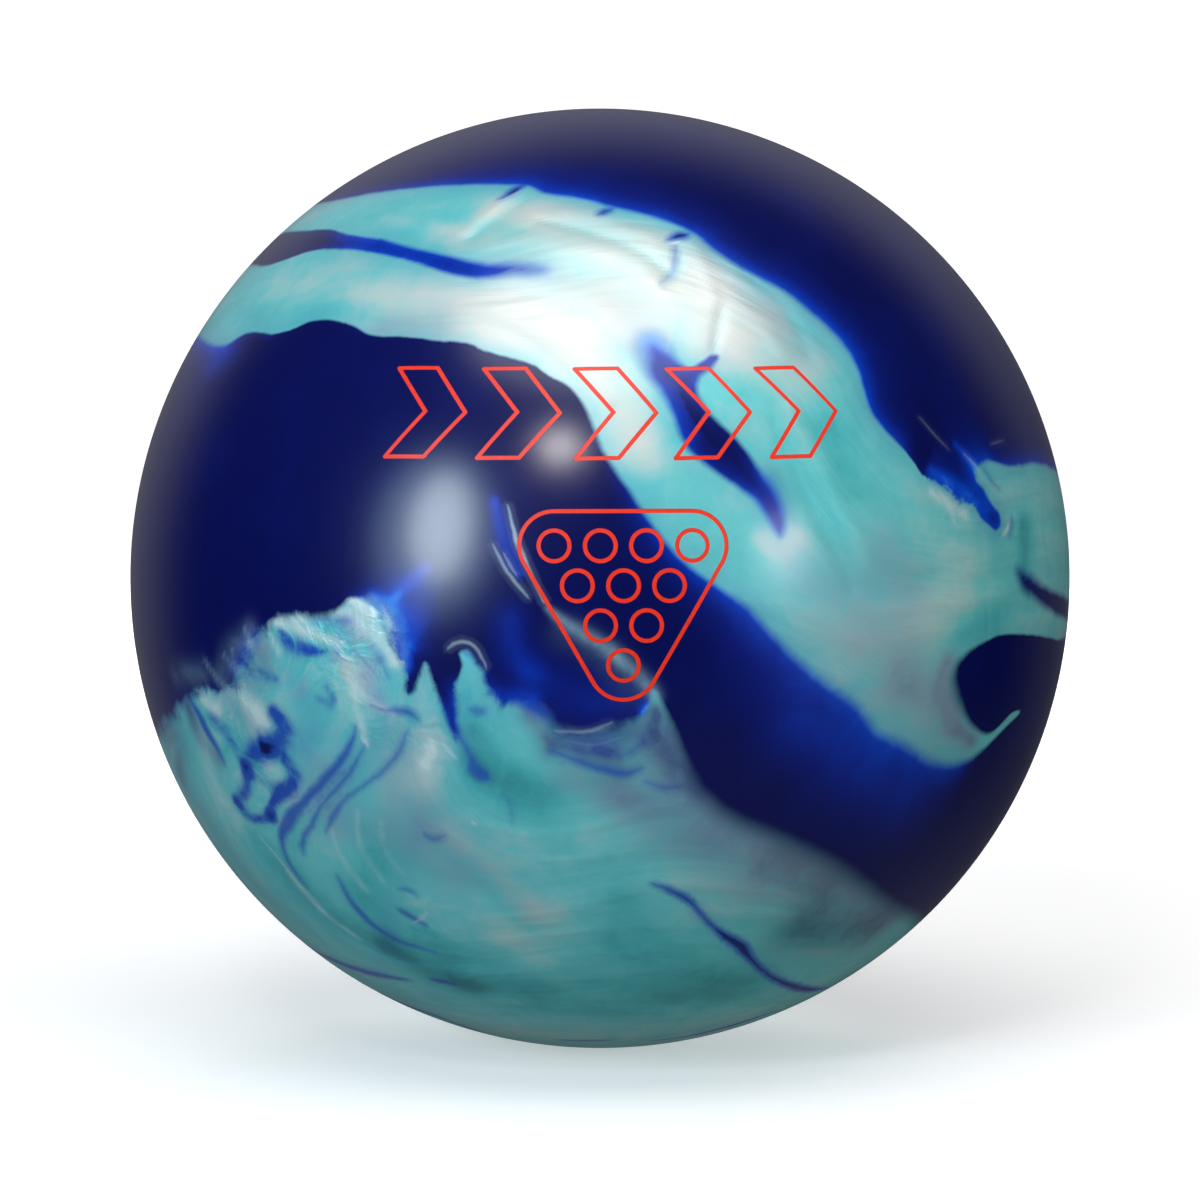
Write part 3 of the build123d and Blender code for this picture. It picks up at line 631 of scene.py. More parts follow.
FLOW = [
    (0, (-64, 86), (-45, 90), (-20, 90.5), (0, 86.5), (20, 80.5), (38, 69), (50, 60), (59, 48), (63, 38),
        (72, 27)),
    (12, (-72, 78), (-50, 77), (-30, 73), (-10, 74), (8, 74), (24, 68), (38, 58), (48, 46), (55, 30),
        (65, 15), (80, 8), (95, 6)),
    (24, (-82, 67), (-60, 68), (-40, 65), (-20, 63), (0, 62), (15, 58), (25, 50), (33, 40), (42, 26),
        (52, 10), (64, -5), (80, -10)),
    (36, (-90, 55), (-75, 57.5), (-60, 60), (-45, 56.5), (-30, 54), (-15, 49), (-5, 43), (0, 31), (7, 21),
        (16, 8), (27, -2), (40, -12), (55, -24), (68, -35), (80, -41)),
    (60, (-32, -22), (-31, -35), (-27, -45), (-20, -52), (-5, -56), (15, -55), (30, -60), (60, -74)),
    (75, (-45, -28), (-44, -42), (-40, -56), (-30, -66), (-12, -72), (10, -72), (35, -78), (60, -86)),
    (90, (-52, -20), (-56, -36), (-62, -50), (-60, -66), (-48, -80), (-30, -86), (-5, -88), (20, -90),
        (45, -96)),
    (105, (-68, -14), (-76, -30), (-80, -48), (-78, -62), (-68, -76), (-50, -90), (-25, -97), (5, -101),
        (30, -102)),
    (118, (-92, -30), (-95, -45), (-88, -60), (-76, -76), (-60, -90), (-35, -102), (-5, -108)),
    (0, *behind((-50, 84), (-20, 66), (20, 55), (60, 42), (90, 32))),
    (24, *behind((-80, 60), (-50, 45), (-20, 38), (10, 30), (40, 20), (75, 10))),
    (48, *behind((-90, 24), (-50, 6), (-20, -6), (6, -4), (16, 8))),
    (60, *behind((-70, -20), (-30, -24), (10, -24), (40, -20), (80, -22))),
    (84, *behind((-80, -46), (-40, -60), (-4, -58), (30, -74), (60, -80))),
    (105, *behind((-60, -72), (-30, -82), (0, -86), (34, -90))),
]


# ---------------------------------------------------------------- fields

FULL_GLOW = 6.0  # a glow this wide in mm is as strong as they get
THIN_REACH = 3.5  # how far from an edge the resin is thin
LIMIT = 9.0  # how far from a stroke, in mm, its field still tells distances


def patch_fields(patches, spots):
    """Four fields at each spot: how far inside the nearest patch it is, in widths of the patch's soft edge;
    how ragged that edge is, in the same widths; how deep in an edge's glow it is; how thin the resin is."""
    depth = np.full(len(spots), -np.inf)
    ragged, glow, thin = np.zeros((3, len(spots)))
    for outline, outside in patches:
        curve = line(outline, closed=True)
        distance, _, values, _ = nearest(curve, True, spots)
        soft, reach, rough = values.T
        here = np.where(inside(curve, outside, spots), distance, -distance) / soft
        ragged = np.where(here > depth, rough / soft, ragged)
        depth = np.maximum(depth, here)
        fall = np.exp(-distance / np.maximum(0.5 * reach, 0.3))
        glow = np.maximum(glow, np.clip(reach / FULL_GLOW, 0, 1) * fall)
        thin = np.maximum(thin, (0.3 + 0.7 * np.clip(reach / 8, 0, 1)) * np.exp(-distance / THIN_REACH))
    return depth, ragged, glow, thin


def stroke_field(strokes, spots):
    """Where each spot is across the nearest stroke, half that stroke's width there, and its strength."""
    best = np.full(len(spots), np.inf)
    field = np.zeros((len(spots), 3))
    field[:, 1] = -LIMIT
    for strength, *points in strokes:
        distance, side, values, past = nearest(line(points), False, spots)
        half = values[:, 0] - past - 3 * np.maximum(distance - np.maximum(1.6, values[:, 0] + 0.6), 0)
        closer = distance - values[:, 0] < best
        best = np.where(closer, distance - values[:, 0], best)
        there = np.column_stack([side * distance, half, np.full(len(spots), strength)])
        field = np.where(closer[:, None], there, field)
    field[:, :2] = np.clip(field[:, :2], -LIMIT, LIMIT)
    return field


def blot_field(blots, spots):
    """The sum of soft strokes at each spot."""
    total = np.zeros(len(spots))
    for strength, *points in blots:
        distance, _, values, _ = nearest(line(points, step=2), False, spots)
        total += strength * np.exp(-np.log(2) * (distance / values[:, 0]) ** 2)
    return total


def flow_field(spots):
    """A smooth height over the ball that is level along each line of FLOW, so that streaks can follow it."""
    knots, heights = [], []
    for height, *points in FLOW:
        curve = line(points, step=7)
        knots.append(curve[:, :3])
        heights += [height] * len(curve)
    knots = np.vstack(knots)

    def matrix(where):
        gap = np.sqrt(np.maximum(2 - 2 * where @ knots.T, 0))
        return np.hstack([gap**3, np.ones((len(where), 1)), where])

    corner = np.zeros((len(knots) + 4, len(knots) + 4))
    corner[: len(knots)] = matrix(knots)
    corner[: len(knots), : len(knots)] += 1e-4 * np.eye(len(knots))
    corner[len(knots):, : len(knots)] = np.column_stack([np.ones(len(knots)), knots]).T
    weights = np.linalg.solve(corner, np.append(heights, [0.0] * 4))
    return np.concatenate([matrix(part) @ weights for part in np.array_split(spots, 32)])


# ---------------------------------------------------------------- the cover's mesh

CELLS = 127  # along each side of the six faces of the cube that the sphere is made from
CROWDING = 1.8  # how much closer the vertices stand in front
INNER_CELLS = 24  # the same for the hollow inside
FRONT = np.array([0.0, -1.0, 0.0])
GROOVE_DEPTH = 0.4  # as in the CAD model
OVERSHOOT = 1.0  # how far a cutter is left to stand out of the ball
ISLAND = 0.96  # the share of its cell that each side fills in the unwrapped picture


def crowd(spots, factor):
    """Draws unit vectors towards the front, keeping small shapes as they are."""
    along = spots @ FRONT
    across = spots - along[:, None] * FRONT
    width = np.maximum(np.linalg.norm(across, axis=1), 1e-12)
    angle = 2 * np.arctan2(width, (1 + along) * factor)
    return np.cos(angle)[:, None] * FRONT + np.sin(angle)[:, None] * across / width[:, None]


def cube_sides():
    """The six sides of a cube, each as its outward, rightward and upward directions."""
    axes = np.eye(3)
    for i in range(3):
        for sign in (1, -1):
            out = sign * axes[i]
            across = axes[(i + 1) % 3]
            yield out, across, np.cross(out, across)


def cube_sphere(cells):
    """Unit vectors and quads of a sphere made from a cube, with even cells."""
    steps = np.tan(np.linspace(-pi / 4, pi / 4, cells + 1))
    a, b = np.meshgrid(steps, steps, indexing="ij")
    spots, quads = [], []
    i, j = np.meshgrid(np.arange(cells), np.arange(cells), indexing="ij")
    corner = (i * (cells + 1) + j).ravel()
    quad = np.column_stack([corner, corner + cells + 1, corner + cells + 2, corner + 1])
    for n, (out, across, up) in enumerate(cube_sides()):
        spots.append(out + a.reshape(-1, 1) * across + b.reshape(-1, 1) * up)
        quads.append(quad + n * (cells + 1) ** 2)
    spots = np.vstack(spots)
    spots /= np.linalg.norm(spots, axis=1)[:, None]
    _, first, place = np.unique(np.round(spots, 7), axis=0, return_index=True, return_inverse=True)
    return spots[first], place.ravel()[np.vstack(quads)]


def mesh_object(name, points, faces):
    """A new object in the scene."""
    mesh = bpy.data.meshes.new(name)
    mesh.from_pydata(points, [], faces)
    piece = bpy.data.objects.new(name, mesh)
    bpy.context.scene.collection.objects.link(piece)
    return piece


def cutter(node):
    """A copy of a CAD fill whose outer face is pushed out through the ball's surface."""
    bm = bmesh.new()
    bm.from_mesh(frame["nodes"][node].data)
    bmesh.ops.remove_doubles(bm, verts=bm.verts, dist=1e-7)
    for vert in bm.verts:
        if vert.co.length > (R - GROOVE_DEPTH / 2) * MM:
            vert.co *= (R + OVERSHOOT) * MM / vert.co.length
    mesh = bpy.data.meshes.new("cutter")
    bm.to_mesh(mesh)
    bm.free()
    return mesh


def cut(piece, meshes):
    """Takes closed meshes out of a piece."""
    tools = bpy.data.collections.new("cutters")
    for mesh in meshes:
        tools.objects.link(bpy.data.objects.new("cutter", mesh))
    bpy.context.scene.collection.children.link(tools)
    knife = piece.modifiers.new("cut", "BOOLEAN")
    knife.operand_type = "COLLECTION"
    knife.collection = tools
    knife.solver = "MANIFOLD"
    whole = piece.data
    piece.data = bpy.data.meshes.new_from_object(piece.evaluated_get(bpy.context.evaluated_depsgraph_get()))
    piece.modifiers.clear()
    bpy.data.meshes.remove(whole)
    for tool in list(tools.objects):
        bpy.data.objects.remove(tool)
    bpy.data.collections.remove(tools)


def read(items, name, width=0):
    """A whole number, or a vector of this width, from each vertex, corner or face of a mesh."""
    values = np.empty(len(items) * max(width, 1), np.float32 if width else np.int32)
    items.foreach_get(name, values)
    return values.reshape(-1, width) if width else values


def put_attribute(mesh, name, values):
    """Stores a number or a vector for every vertex."""
    kind = "FLOAT_VECTOR" if values.ndim == 2 else "FLOAT"
    layer = mesh.attributes.new(name, kind, "POINT")
    layer.data.foreach_set("vector" if values.ndim == 2 else "value", values.astype(np.float32).ravel())


def paint_fields(mesh):
    """Stores the swirl's fields on a mesh."""
    spots = read(mesh.vertices, "co", 3).astype(float)
    spots /= np.linalg.norm(spots, axis=1)[:, None]
    mint, ragged, glow, thin = patch_fields(MINT_PATCHES, spots)
    blue, blue_ragged, blue_glow, blue_thin = patch_fields(BLUE_PATCHES, spots)
    put_attribute(mesh, "edge", np.clip(np.minimum(mint, -blue), -20, 20))
    put_attribute(mesh, "ragged", np.where(-blue < mint, blue_ragged, ragged))
    put_attribute(mesh, "thin", np.maximum(thin, 0.6 * blue_thin))
    glow = np.where(blue > -1.5, np.maximum(glow, blue_glow), glow)
    put_attribute(mesh, "glow", glow + blot_field(GLOWS, spots))
    for name, blots in BLOTS.items():
        put_attribute(mesh, name, blot_field(blots, spots))
    put_attribute(mesh, "flow", flow_field(spots))
    for kind, layers in {"ink": INK, "wisp": WISPS_AND_GLINTS}.items():
        for n, strokes in enumerate(layers, 1):
            put_attribute(mesh, f"{kind}_{n}", stroke_field(strokes, spots))


def round_normals(mesh):
    """Shades the outer and inner surfaces as true spheres, and the walls of the cuts flat."""
    corners = read(mesh.loops, "vertex_index")
    spots = read(mesh.vertices, "co", 3)
    flat = np.repeat(read(mesh.polygons, "normal", 3), read(mesh.polygons, "loop_total"), axis=0)
    radii = np.linalg.norm(spots, axis=1)
    radial = (spots / radii[:, None])[corners]
    outward = (radial * flat).sum(1)
    on_sphere = (np.abs(outward) > 0.99) & (np.abs(radii[corners] / MM - (R - GROOVE_DEPTH)) > 0.1)
    normals = np.where(on_sphere[:, None], np.sign(outward)[:, None] * radial, flat)
    mesh.polygons.foreach_set("use_smooth", np.ones(len(mesh.polygons), bool))
    mesh.normals_split_custom_set(normals.tolist())


def unwrap(mesh):
    """Lays the ball's six sides out in a picture, each in its own cell."""
    corners = read(mesh.loops, "vertex_index")
    spots = read(mesh.vertices, "co", 3).astype(float)
    spots = crowd(spots / np.linalg.norm(spots, axis=1)[:, None], 1 / CROWDING)
    sizes = read(mesh.polygons, "loop_total")
    owner = np.repeat(np.arange(len(sizes)), sizes)
    middles = np.zeros((len(sizes), 3))
    np.add.at(middles, owner, spots[corners])
    sides = list(cube_sides())
    side = np.argmax(middles @ np.array([out for out, _, _ in sides]).T, axis=1)[owner]
    uv = np.zeros((len(corners), 2))
    for n, (out, across, up) in enumerate(sides):
        mine = side == n
        here = spots[corners[mine]]
        depth = np.maximum(here @ out, 1e-6)
        a = np.arctan(here @ across / depth) / (pi / 2) * ISLAND + 0.5
        b = np.arctan(here @ up / depth) / (pi / 2) * ISLAND + 0.5
        uv[mine] = np.column_stack([(n % 3 + a) / 3, (n // 3 + b) / 2])
    layer = mesh.uv_layers.new(name="OFBake")
    layer.data.foreach_set("uv", uv.astype(np.float32).ravel())


def make_cover():
    """The coverstock with its looks: a hollow ball with the CAD node's grooves, in swirled resin."""
    spots, quads = cube_sphere(CELLS)
    outer = crowd(spots, CROWDING) * R * MM
    inner_spots, inner_quads = cube_sphere(INNER_CELLS)
    inner = inner_spots * COVER_INNER * MM
    points = np.vstack([outer, inner])
    faces = quads.tolist() + (inner_quads[:, ::-1] + len(outer)).tolist()
    piece = mesh_object("swirled_cover", points.tolist(), faces)
    fills = [n for n in frame["nodes"] if n.endswith("_paint") or "_paint_" in n]
    cut(piece, [cutter(n) for n in fills + ["locator_pin"]])
    paint_fields(piece.data)
    unwrap(piece.data)
    round_normals(piece.data)
    piece.data.materials.clear()
    piece.data.materials.append(cover_material())
    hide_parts("coverstock")
    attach(piece, "root")
    return piece


# ---------------------------------------------------------------- materials

def srgb(r, g, b):
    """A colour as a screen shows it, from 0 to 255, in linear light."""
    return tuple(c / 255 / 12.92 if c < 11 else ((c / 255 + 0.055) / 1.055) ** 2.4 for c in (r, g, b)) + (1,)


class Graph:
    """Builds a material's nodes. Every call gives the output of the node that it adds."""

    def __init__(self, name):
        self.material = bpy.data.materials.new(name)
        self.material.use_nodes = True
        self.nodes = self.material.node_tree.nodes
        self.links = self.material.node_tree.links
        self.nodes.clear()

    def add(self, kind, inputs=(), output=0, **settings):
        node = self.nodes.new(kind)
        for key, value in settings.items():
            setattr(node, key, value)
        for key, value in dict(inputs).items():
            if isinstance(value, bpy.types.NodeSocket):
                self.links.new(value, node.inputs[key])
            else:
                node.inputs[key].default_value = value
        return node.outputs[output]

    def math(self, operation, *values, clamp=False):
        return self.add("ShaderNodeMath", dict(enumerate(values)), operation=operation, use_clamp=clamp)

    def times(self, a, b, clamp=False):
        return self.math("MULTIPLY", a, b, clamp=clamp)

    def plus(self, a, b, clamp=False):
        return self.math("ADD", a, b, clamp=clamp)

    def scaled(self, value, factor, offset, clamp=False):
        """value * factor + offset"""
        return self.math("MULTIPLY_ADD", value, factor, offset, clamp=clamp)

    def varied(self, name, pattern, factor, offset):
        """A stored field, from 0 to 1, made uneven by a pattern."""
        return self.times(self.stored(name), self.scaled(pattern, factor, offset), clamp=True)

    def vector(self, operation, *values):
        return self.add("ShaderNodeVectorMath", dict(enumerate(values)), operation=operation)

    def blend(self, factor, a, b):
        return self.add("ShaderNodeMix", {0: factor, 6: a, 7: b}, output=2, data_type="RGBA")

    def ramp(self, value, *stops):
        ramp = self.add("ShaderNodeValToRGB", {0: value})
        elements = ramp.node.color_ramp.elements
        while len(elements) < len(stops):
            elements.new(0.5)
        for element, (place, colour) in zip(elements, stops):
            element.position = place
            element.color = colour
        return ramp

    def step(self, value, low, high):
        """0 below low and 1 above high, with a smooth rise between."""
        return self.add("ShaderNodeMapRange", {0: value, 1: low, 2: high}, interpolation_type="SMOOTHSTEP")

    def stored(self, name):
        return self.add("ShaderNodeAttribute", output=2, attribute_name=name)

    def stored_parts(self, name):
        whole = self.add("ShaderNodeAttribute", output=1, attribute_name=name)
        return self.add("ShaderNodeSeparateXYZ", {0: whole}).node.outputs

    def noise(self, vector, scale, detail=3.0, roughness=0.5, distortion=0.0):
        """Noise about 0, mostly within half of 1."""
        inputs = {"Scale": scale, "Detail": detail, "Roughness": roughness, "Distortion": distortion}
        return self.math("SUBTRACT", self.add("ShaderNodeTexNoise", {"Vector": vector, **inputs}), 0.5)

    def place(self):
        """Where the surface is, in millimetres."""
        return self.vector("MULTIPLY", self.add("ShaderNodeTexCoord", output=3), (1 / MM,) * 3)

    def surface(self, **inputs):
        shader = self.add("ShaderNodeBsdfPrincipled", {k.replace("_", " "): v for k, v in inputs.items()})
        self.add_output(shader)
        return self.material

    def add_output(self, shader):
        end = self.nodes.new("ShaderNodeOutputMaterial")
        self.links.new(shader, end.inputs["Surface"])


def strokes_in(graph, names, waver, soft, halo):
    """How much of any stroke in the named layers covers the surface, with a faint halo round each."""
    total = None
    for name in names:
        across, half, strength = graph.stored_parts(name)
        margin = graph.math("SUBTRACT", half, graph.math("ABSOLUTE", graph.plus(across, waver)))
        ring = graph.times(graph.step(margin, -2.2, 0.4), halo)
        cover = graph.times(graph.math("MAXIMUM", graph.step(margin, -soft, soft), ring), strength)
        total = cover if total is None else graph.math("MAXIMUM", total, cover)
    return total


def cover_material():
    """Two resins poured together: mint and cream over a deep blue, with a satin coat."""
    g = Graph("swirled_resin")
    place = g.place()
    stir = g.add("ShaderNodeTexNoise", {"Vector": place, "Scale": 0.06, "Detail": 2.0}, output=1)
    stirred = g.vector("ADD", place, g.vector("MULTIPLY", g.vector("SUBTRACT", stir, (0.5,) * 3), (26,) * 3))
    coarse = g.noise(place, 0.05, 3, 0.5)
    medium = g.noise(place, 0.22, 5, 0.62)
    mottle = g.noise(stirred, 0.1, 6, 0.62)
    broken = g.noise(stirred, 0.2, 5, 0.6, 0.6)
    fine = g.noise(place, 1.2, 4, 0.6)
    flow = g.stored("flow")
    along = g.vector("MULTIPLY", place, (0.03,) * 3)
    lift = g.add("ShaderNodeCombineXYZ", {0: g.times(flow, 0.12)})
    folds = g.noise(g.vector("ADD", along, lift), 1.0, 2.5, 0.5)
    lift = g.add("ShaderNodeCombineXYZ", {0: g.times(flow, 0.42)})
    streaks = g.noise(g.vector("ADD", g.vector("MULTIPLY", along, (1.6,) * 3), lift), 1.0, 4, 0.6)
    wild = g.stored("wild")

    # where the mint lies over the blue
    ragged = g.times(g.plus(g.times(mottle, 3.2), medium), 1.3)
    ragged = g.times(g.stored("ragged"), ragged)
    mint = g.step(g.plus(g.stored("edge"), ragged), -1, 1)
    # thinner mint where the blue shows through; at the lower right this is painted shade
    veil_and_shade = g.varied("veil_and_shade", mottle, 1.4, 1)
    mint = g.times(mint, g.math("SUBTRACT", 1, veil_and_shade))

    # the blue, brighter near the mint, with pale mist in it
    glow = g.times(g.stored("glow"), g.scaled(mottle, 0.8, 1))
    glow = g.plus(glow, g.times(coarse, 0.25))
    blue = g.ramp(
        g.times(glow, 0.67),
        (0.0, srgb(8, 15, 80)), (0.2, srgb(9, 28, 118)), (0.42, srgb(8, 46, 158)), (0.67, srgb(10, 68, 196)),
        (1.0, srgb(50, 140, 244)),
    )
    haze = g.varied("mist", mottle, 3.0, 1)
    blue = g.blend(haze, blue, srgb(158, 194, 208))

    # the mint, from deep teal to cream; the cream field adds a painted highlight where the top and right lamps
    # reflect
    # the folds noise and the ridges are painted paler where they rise and darker where they sink, as in the
    # bump below: painted shading of the folds
    tone = g.plus(g.stored("cream_and_sheen"), g.times(folds, 0.8))
    tone = g.plus(tone, g.times(streaks, 0.26))
    tone = g.plus(tone, g.times(g.stored("relief_and_shading"), 0.3))
    tone = g.plus(tone, g.times(mottle, g.scaled(wild, 2.6, 0.8)))
    pearl = g.ramp(
        g.scaled(tone, 0.5, 0.5),
        (0.0, srgb(46, 142, 150)), (0.3, srgb(86, 198, 200)), (0.5, srgb(118, 216, 216)),
        (0.75, srgb(190, 224, 219)), (1.0, srgb(221, 224, 216)),
    )
    thin = g.varied("thin", folds, 0.8, 0.8)
    pearl = g.blend(thin, pearl, srgb(92, 168, 196))
    grey = g.varied("grey", mottle, 1.2, 0.9)
    pearl = g.blend(grey, pearl, srgb(132, 164, 184))
    slate = g.varied("slate", mottle, 1.6, 0.9)
    pearl = g.blend(slate, pearl, srgb(72, 98, 146))
    milk = g.varied("milk", mottle, 2.4, 1.0)
    flecks = g.times(g.step(broken, -0.1, -0.35), g.times(wild, 0.6))
    pearl = g.blend(g.math("MAXIMUM", milk, flecks), pearl, srgb(214, 238, 234))

    # stains of royal blue in the mint, navy where they are strongest
    smoke = g.times(g.stored("smoke"), g.scaled(mottle, 2.6, 1.0))
    smoke = g.plus(smoke, g.times(g.times(broken, wild), 1.2))
    ink = strokes_in(g, ["ink_1", "ink_2", "ink_3"], g.times(medium, 1.3), 1.3, 0.35)
    stain = g.math("MAXIMUM", g.step(smoke, 0.0, 1.25), g.times(ink, 1.05))
    pearl = g.blend(g.math("MINIMUM", stain, 1), pearl, srgb(42, 90, 190))
    core = g.math("MAXIMUM", g.step(smoke, 1.3, 2.2), g.step(ink, 0.88, 0.98))
    pearl = g.blend(core, pearl, srgb(14, 26, 98))
    colour = g.blend(mint, blue, pearl)
    # pale wisps, and painted glints and highlights by the pits, in near white
    wisp = strokes_in(g, ["wisp_1", "wisp_2", "wisp_3"], g.times(medium, 1.2), 0.5, 0.12)
    colour = g.blend(wisp, colour, srgb(206, 230, 240))

    height = g.plus(folds, g.times(streaks, 0.14))
    height = g.plus(height, g.times(g.stored("relief_and_shading"), 0.3))
    height = g.plus(height, g.times(broken, g.times(wild, 0.4)))
    grain = g.add("ShaderNodeBump", {"Strength": 0.6, "Distance": 0.002, "Height": g.times(height, mint)})
    peel = g.add("ShaderNodeBump", {"Strength": 0.02, "Distance": 0.0001, "Height": fine})
    return g.surface(
        Base_Color=colour,
        Metallic=g.times(mint, 0.25),
        Roughness=g.scaled(medium, 0.08, 0.42),
        Specular_IOR_Level=0.0,
        Normal=grain,
        Coat_Weight=1.0,
        Coat_Roughness=0.21,
        Coat_Normal=peel,
    )


def paint_material(name, colour, shade):
    """Poured paint: an even colour with slight unevenness and a faintly rippled gloss."""
    g = Graph(name)
    place = g.place()
    patches = g.noise(place, 0.8, 3, 0.5)
    ripple = g.noise(place, 2.5, 3, 0.5)
    return g.surface(
        Base_Color=g.blend(g.plus(g.times(patches, 1.2), 0.35, clamp=True), colour, shade),
        Roughness=g.scaled(ripple, 0.15, 0.35),
        Normal=g.add("ShaderNodeBump", {"Strength": 0.2, "Distance": 0.0002, "Height": ripple}),
    )


def resin_material(name, colour, shade, roughness):
    """Cast filled resin: mottled, with the odd speck of filler and a dull skin."""
    g = Graph(name)
    place = g.place()
    mottle = g.noise(place, 0.09, 5, 0.6, 0.6)
    specks = g.step(g.noise(place, 1.1, 2, 0.5), 0.16, 0.26)
    mix = g.blend(g.scaled(mottle, 1.6, 0.5, clamp=True), colour, shade)
    return g.surface(
        Base_Color=g.blend(g.times(specks, 0.35), mix, srgb(226, 220, 205)),
        Roughness=g.scaled(mottle, 0.2, roughness),
        Normal=g.add("ShaderNodeBump", {"Strength": 0.25, "Distance": 0.0003, "Height": specks}),
    )


def dress_cad_nodes():
    """Gives every CAD node that stays its material. All the figures share one paint."""
    figure = paint_material("figure_paint_gloss", srgb(255, 58, 28), srgb(232, 44, 22))
    finishes = {
        "filler": resin_material("filler_resin_cast", srgb(120, 116, 108), srgb(92, 88, 84), 0.6),
        "weight_block_bulb": resin_material("bulb_resin_cast", srgb(196, 66, 44), srgb(150, 40, 30), 0.5),
        "weight_block_slug": resin_material("slug_resin_cast", srgb(58, 58, 64), srgb(36, 36, 40), 0.5),
        "flip_block": resin_material("flip_resin_cast", srgb(60, 104, 168), srgb(40, 76, 132), 0.5),
        "locator_pin": resin_material("pin_resin_cast", srgb(240, 206, 72), srgb(226, 182, 48), 0.32),
        "balance_mark_paint": paint_material("mark_paint_gloss", srgb(240, 236, 222), srgb(222, 216, 198)),
    }
    for name, node in frame["nodes"].items():
        if name != "coverstock":
            node.material_slots[0].material = finishes.get(name, figure)


# ---------------------------------------------------------------- studio

def make_camera():
    """The camera, a little above the ball's middle and far enough off for the outline to fill its share."""
    data = bpy.data.cameras.new("camera")
    data.lens, data.sensor_width = LENS, SENSOR
    camera = bpy.data.objects.new("camera", data)
    camera.location = Vector(TOWARDS * DISTANCE * MM)
    aim = Vector(-AIM_BELOW * MM * UP)
    camera.rotation_mode = "QUATERNION"
    camera.rotation_quaternion = (aim - camera.location).to_track_quat("-Z", "Y")
    bpy.context.scene.collection.objects.link(camera)
    bpy.context.scene.camera = camera


def seen_light(name, u, w, width, height, watts, colour=(1, 1, 1), reach=1.6):
    """An oval soft light whose reflection shows at (u, w) on the ball."""
    normal = face(u, w)
    direction = 2 * (normal @ TOWARDS) * normal - TOWARDS
    add_light(name, Vector(direction * reach), width, height, watts, colour)


def add_light(name, place, width, height, watts, colour=(1, 1, 1)):
    """An oval soft light that points at the ball and stays out of the camera's sight."""
    data = bpy.data.lights.new(name, "AREA")
    data.shape = "ELLIPSE"
    data.size, data.size_y = width, height
    data.energy = watts
    data.color = colour
    lamp = bpy.data.objects.new(name, data)
    lamp.location = place
    lamp.rotation_mode = "QUATERNION"
    lamp.rotation_quaternion = (-place).to_track_quat("-Z", "Y")
    lamp.visible_camera = False
    bpy.context.scene.collection.objects.link(lamp)
    return lamp


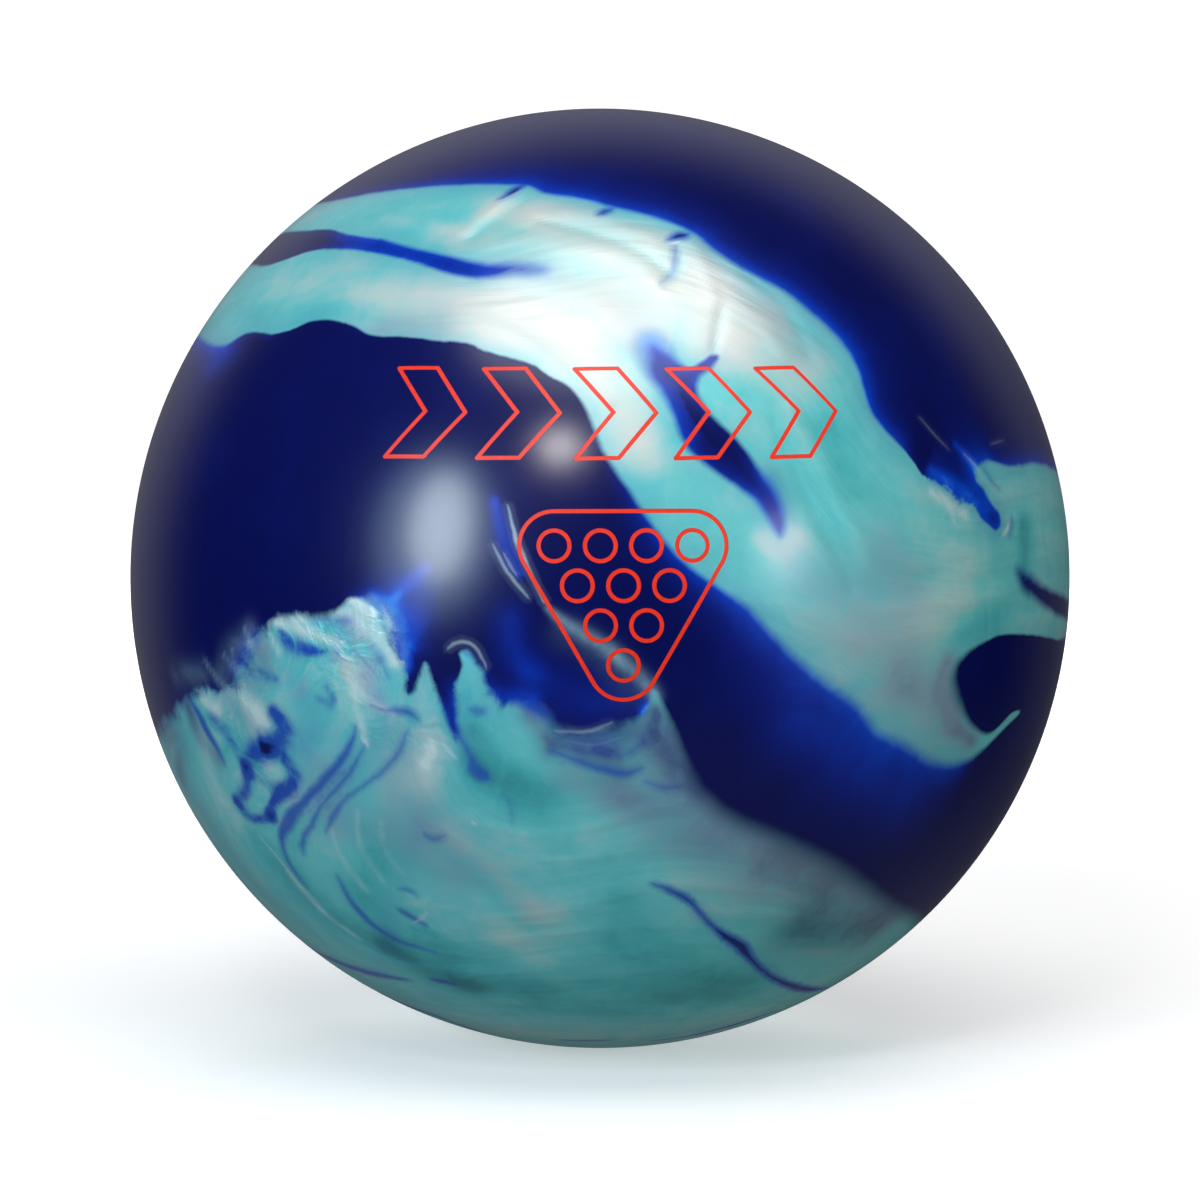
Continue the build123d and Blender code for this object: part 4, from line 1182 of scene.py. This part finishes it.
def make_studio():
    """A pale bowl for floor and backdrop, which glows as painted light, dimmer near the ball and brighter
    further out, and soft lights.
    """
    floor_radius, bend, height = 2.6, 1.4, 3.2
    profile = [(r, 0.0) for r in (0.0, 0.3, 0.8, 1.6, floor_radius)]
    curve = np.linspace(0, pi / 2, 17)[1:]
    profile += [(floor_radius + bend * sin(a), bend * (1 - cos(a))) for a in curve]
    profile.append((floor_radius + bend, height))
    turns = 96
    points = [
        (r * cos(2 * pi * k / turns), r * sin(2 * pi * k / turns), z - R * MM)
        for r, z in profile[1:] for k in range(turns)
    ]
    faces = [
        (n + k, n + turns + k, n + turns + (k + 1) % turns, n + (k + 1) % turns)
        for n in range(0, (len(profile) - 2) * turns, turns) for k in range(turns)
    ]
    points.append((0, 0, -R * MM))
    faces += [(len(points) - 1, k, (k + 1) % turns) for k in range(turns)]
    bowl = mesh_object("floor", points, faces)
    bowl.data.polygons.foreach_set("use_smooth", np.ones(len(faces), bool))
    g = Graph("pale_floor")
    here = g.add("ShaderNodeTexCoord", output=3)
    spread = g.add("ShaderNodeVectorMath", {0: here}, output=1, operation="LENGTH")
    # painted light: the bowl glows, dimmer near the ball and brighter further out
    lift = g.scaled(g.step(spread, 0.25, 1.3), 0.6, 0.4)
    white = (1, 1, 1, 1)
    g.surface(Base_Color=srgb(236, 236, 236), Roughness=0.9, Emission_Color=white, Emission_Strength=lift)
    bowl.data.materials.append(g.material)
    bowl.visible_glossy = False
    bowl.visible_diffuse = False
    bowl.visible_shadow = False

    seen_light("left_light", -37.6, 12, 0.4, 0.66, 8.6, (0.86, 0.98, 1.02))
    seen_light("left_light_spill", -40, 10, 0.8, 1.02, 5.2, (0.58, 0.9, 1.3))
    seen_light("front_light", -9.4, 31, 0.24, 0.2, 3.1, (1, 0.94, 0.9))
    seen_light("right_light", 43, 7, 0.3, 0.4, 2)
    seen_light("top_light", 2, 62, 1.9, 1.3, 19, reach=1.8)
    add_light("back_light", Vector((0, 1.6, -0.05)), 0.4, 0.4, 2)
    fills = [
        # what the floor would send back up, through the floor itself
        add_light("floor_bounce", Vector((-0.25, -0.5, -1.1)), 2, 2, 3.7),
        add_light("right_fill", Vector((1.3, -0.8, 0.0)), 1.2, 1.2, 6.4),
        add_light("back_fill", Vector((0.3, 1.5, 0.7)), 1.2, 1.2, 10),
    ]
    for fill in fills:
        fill.visible_glossy = False


def make_room():
    """A room that is dark round the camera and dimly lit behind the ball, most of all above it."""
    world = bpy.data.worlds.new("room")
    bpy.context.scene.world = world
    world.use_nodes = True
    nodes, links = world.node_tree.nodes, world.node_tree.links
    direction = nodes.new("ShaderNodeTexCoord")
    axes = nodes.new("ShaderNodeSeparateXYZ")
    links.new(direction.outputs["Generated"], axes.inputs[0])

    def rise(axis, start, end, low, high):
        node = nodes.new("ShaderNodeMapRange")
        node.interpolation_type = "SMOOTHSTEP"
        links.new(axes.outputs[axis], node.inputs["Value"])
        for key, value in {"From Min": start, "From Max": end, "To Min": low, "To Max": high}.items():
            node.inputs[key].default_value = value
        return node.outputs[0]

    def both(operation, a, b):
        node = nodes.new("ShaderNodeMath")
        node.operation = operation
        links.new(a, node.inputs[0])
        links.new(b, node.inputs[1])
        return node.outputs[0]

    side = both("MULTIPLY", rise("X", -0.6, 0.5, 0.18, 0.07), rise("Z", -0.5, 0.0, 0.35, 1.0))
    side = both("ADD", side, rise("Z", -0.1, 0.6, 0.0, 0.21))
    strength = both("MULTIPLY", side, rise("Y", 0.4, 0.8, 0.06, 1.0))
    strength = both("ADD", strength, rise("Z", -0.2, -0.7, 0.0, 0.08))
    links.new(strength, nodes["Background"].inputs["Strength"])
    nodes["Background"].inputs["Color"].default_value = (0.94, 0.94, 1, 1)


bpy.context.scene.view_settings.view_transform = "Standard"
make_camera()
make_studio()
make_room()
make_cover()
dress_cad_nodes()
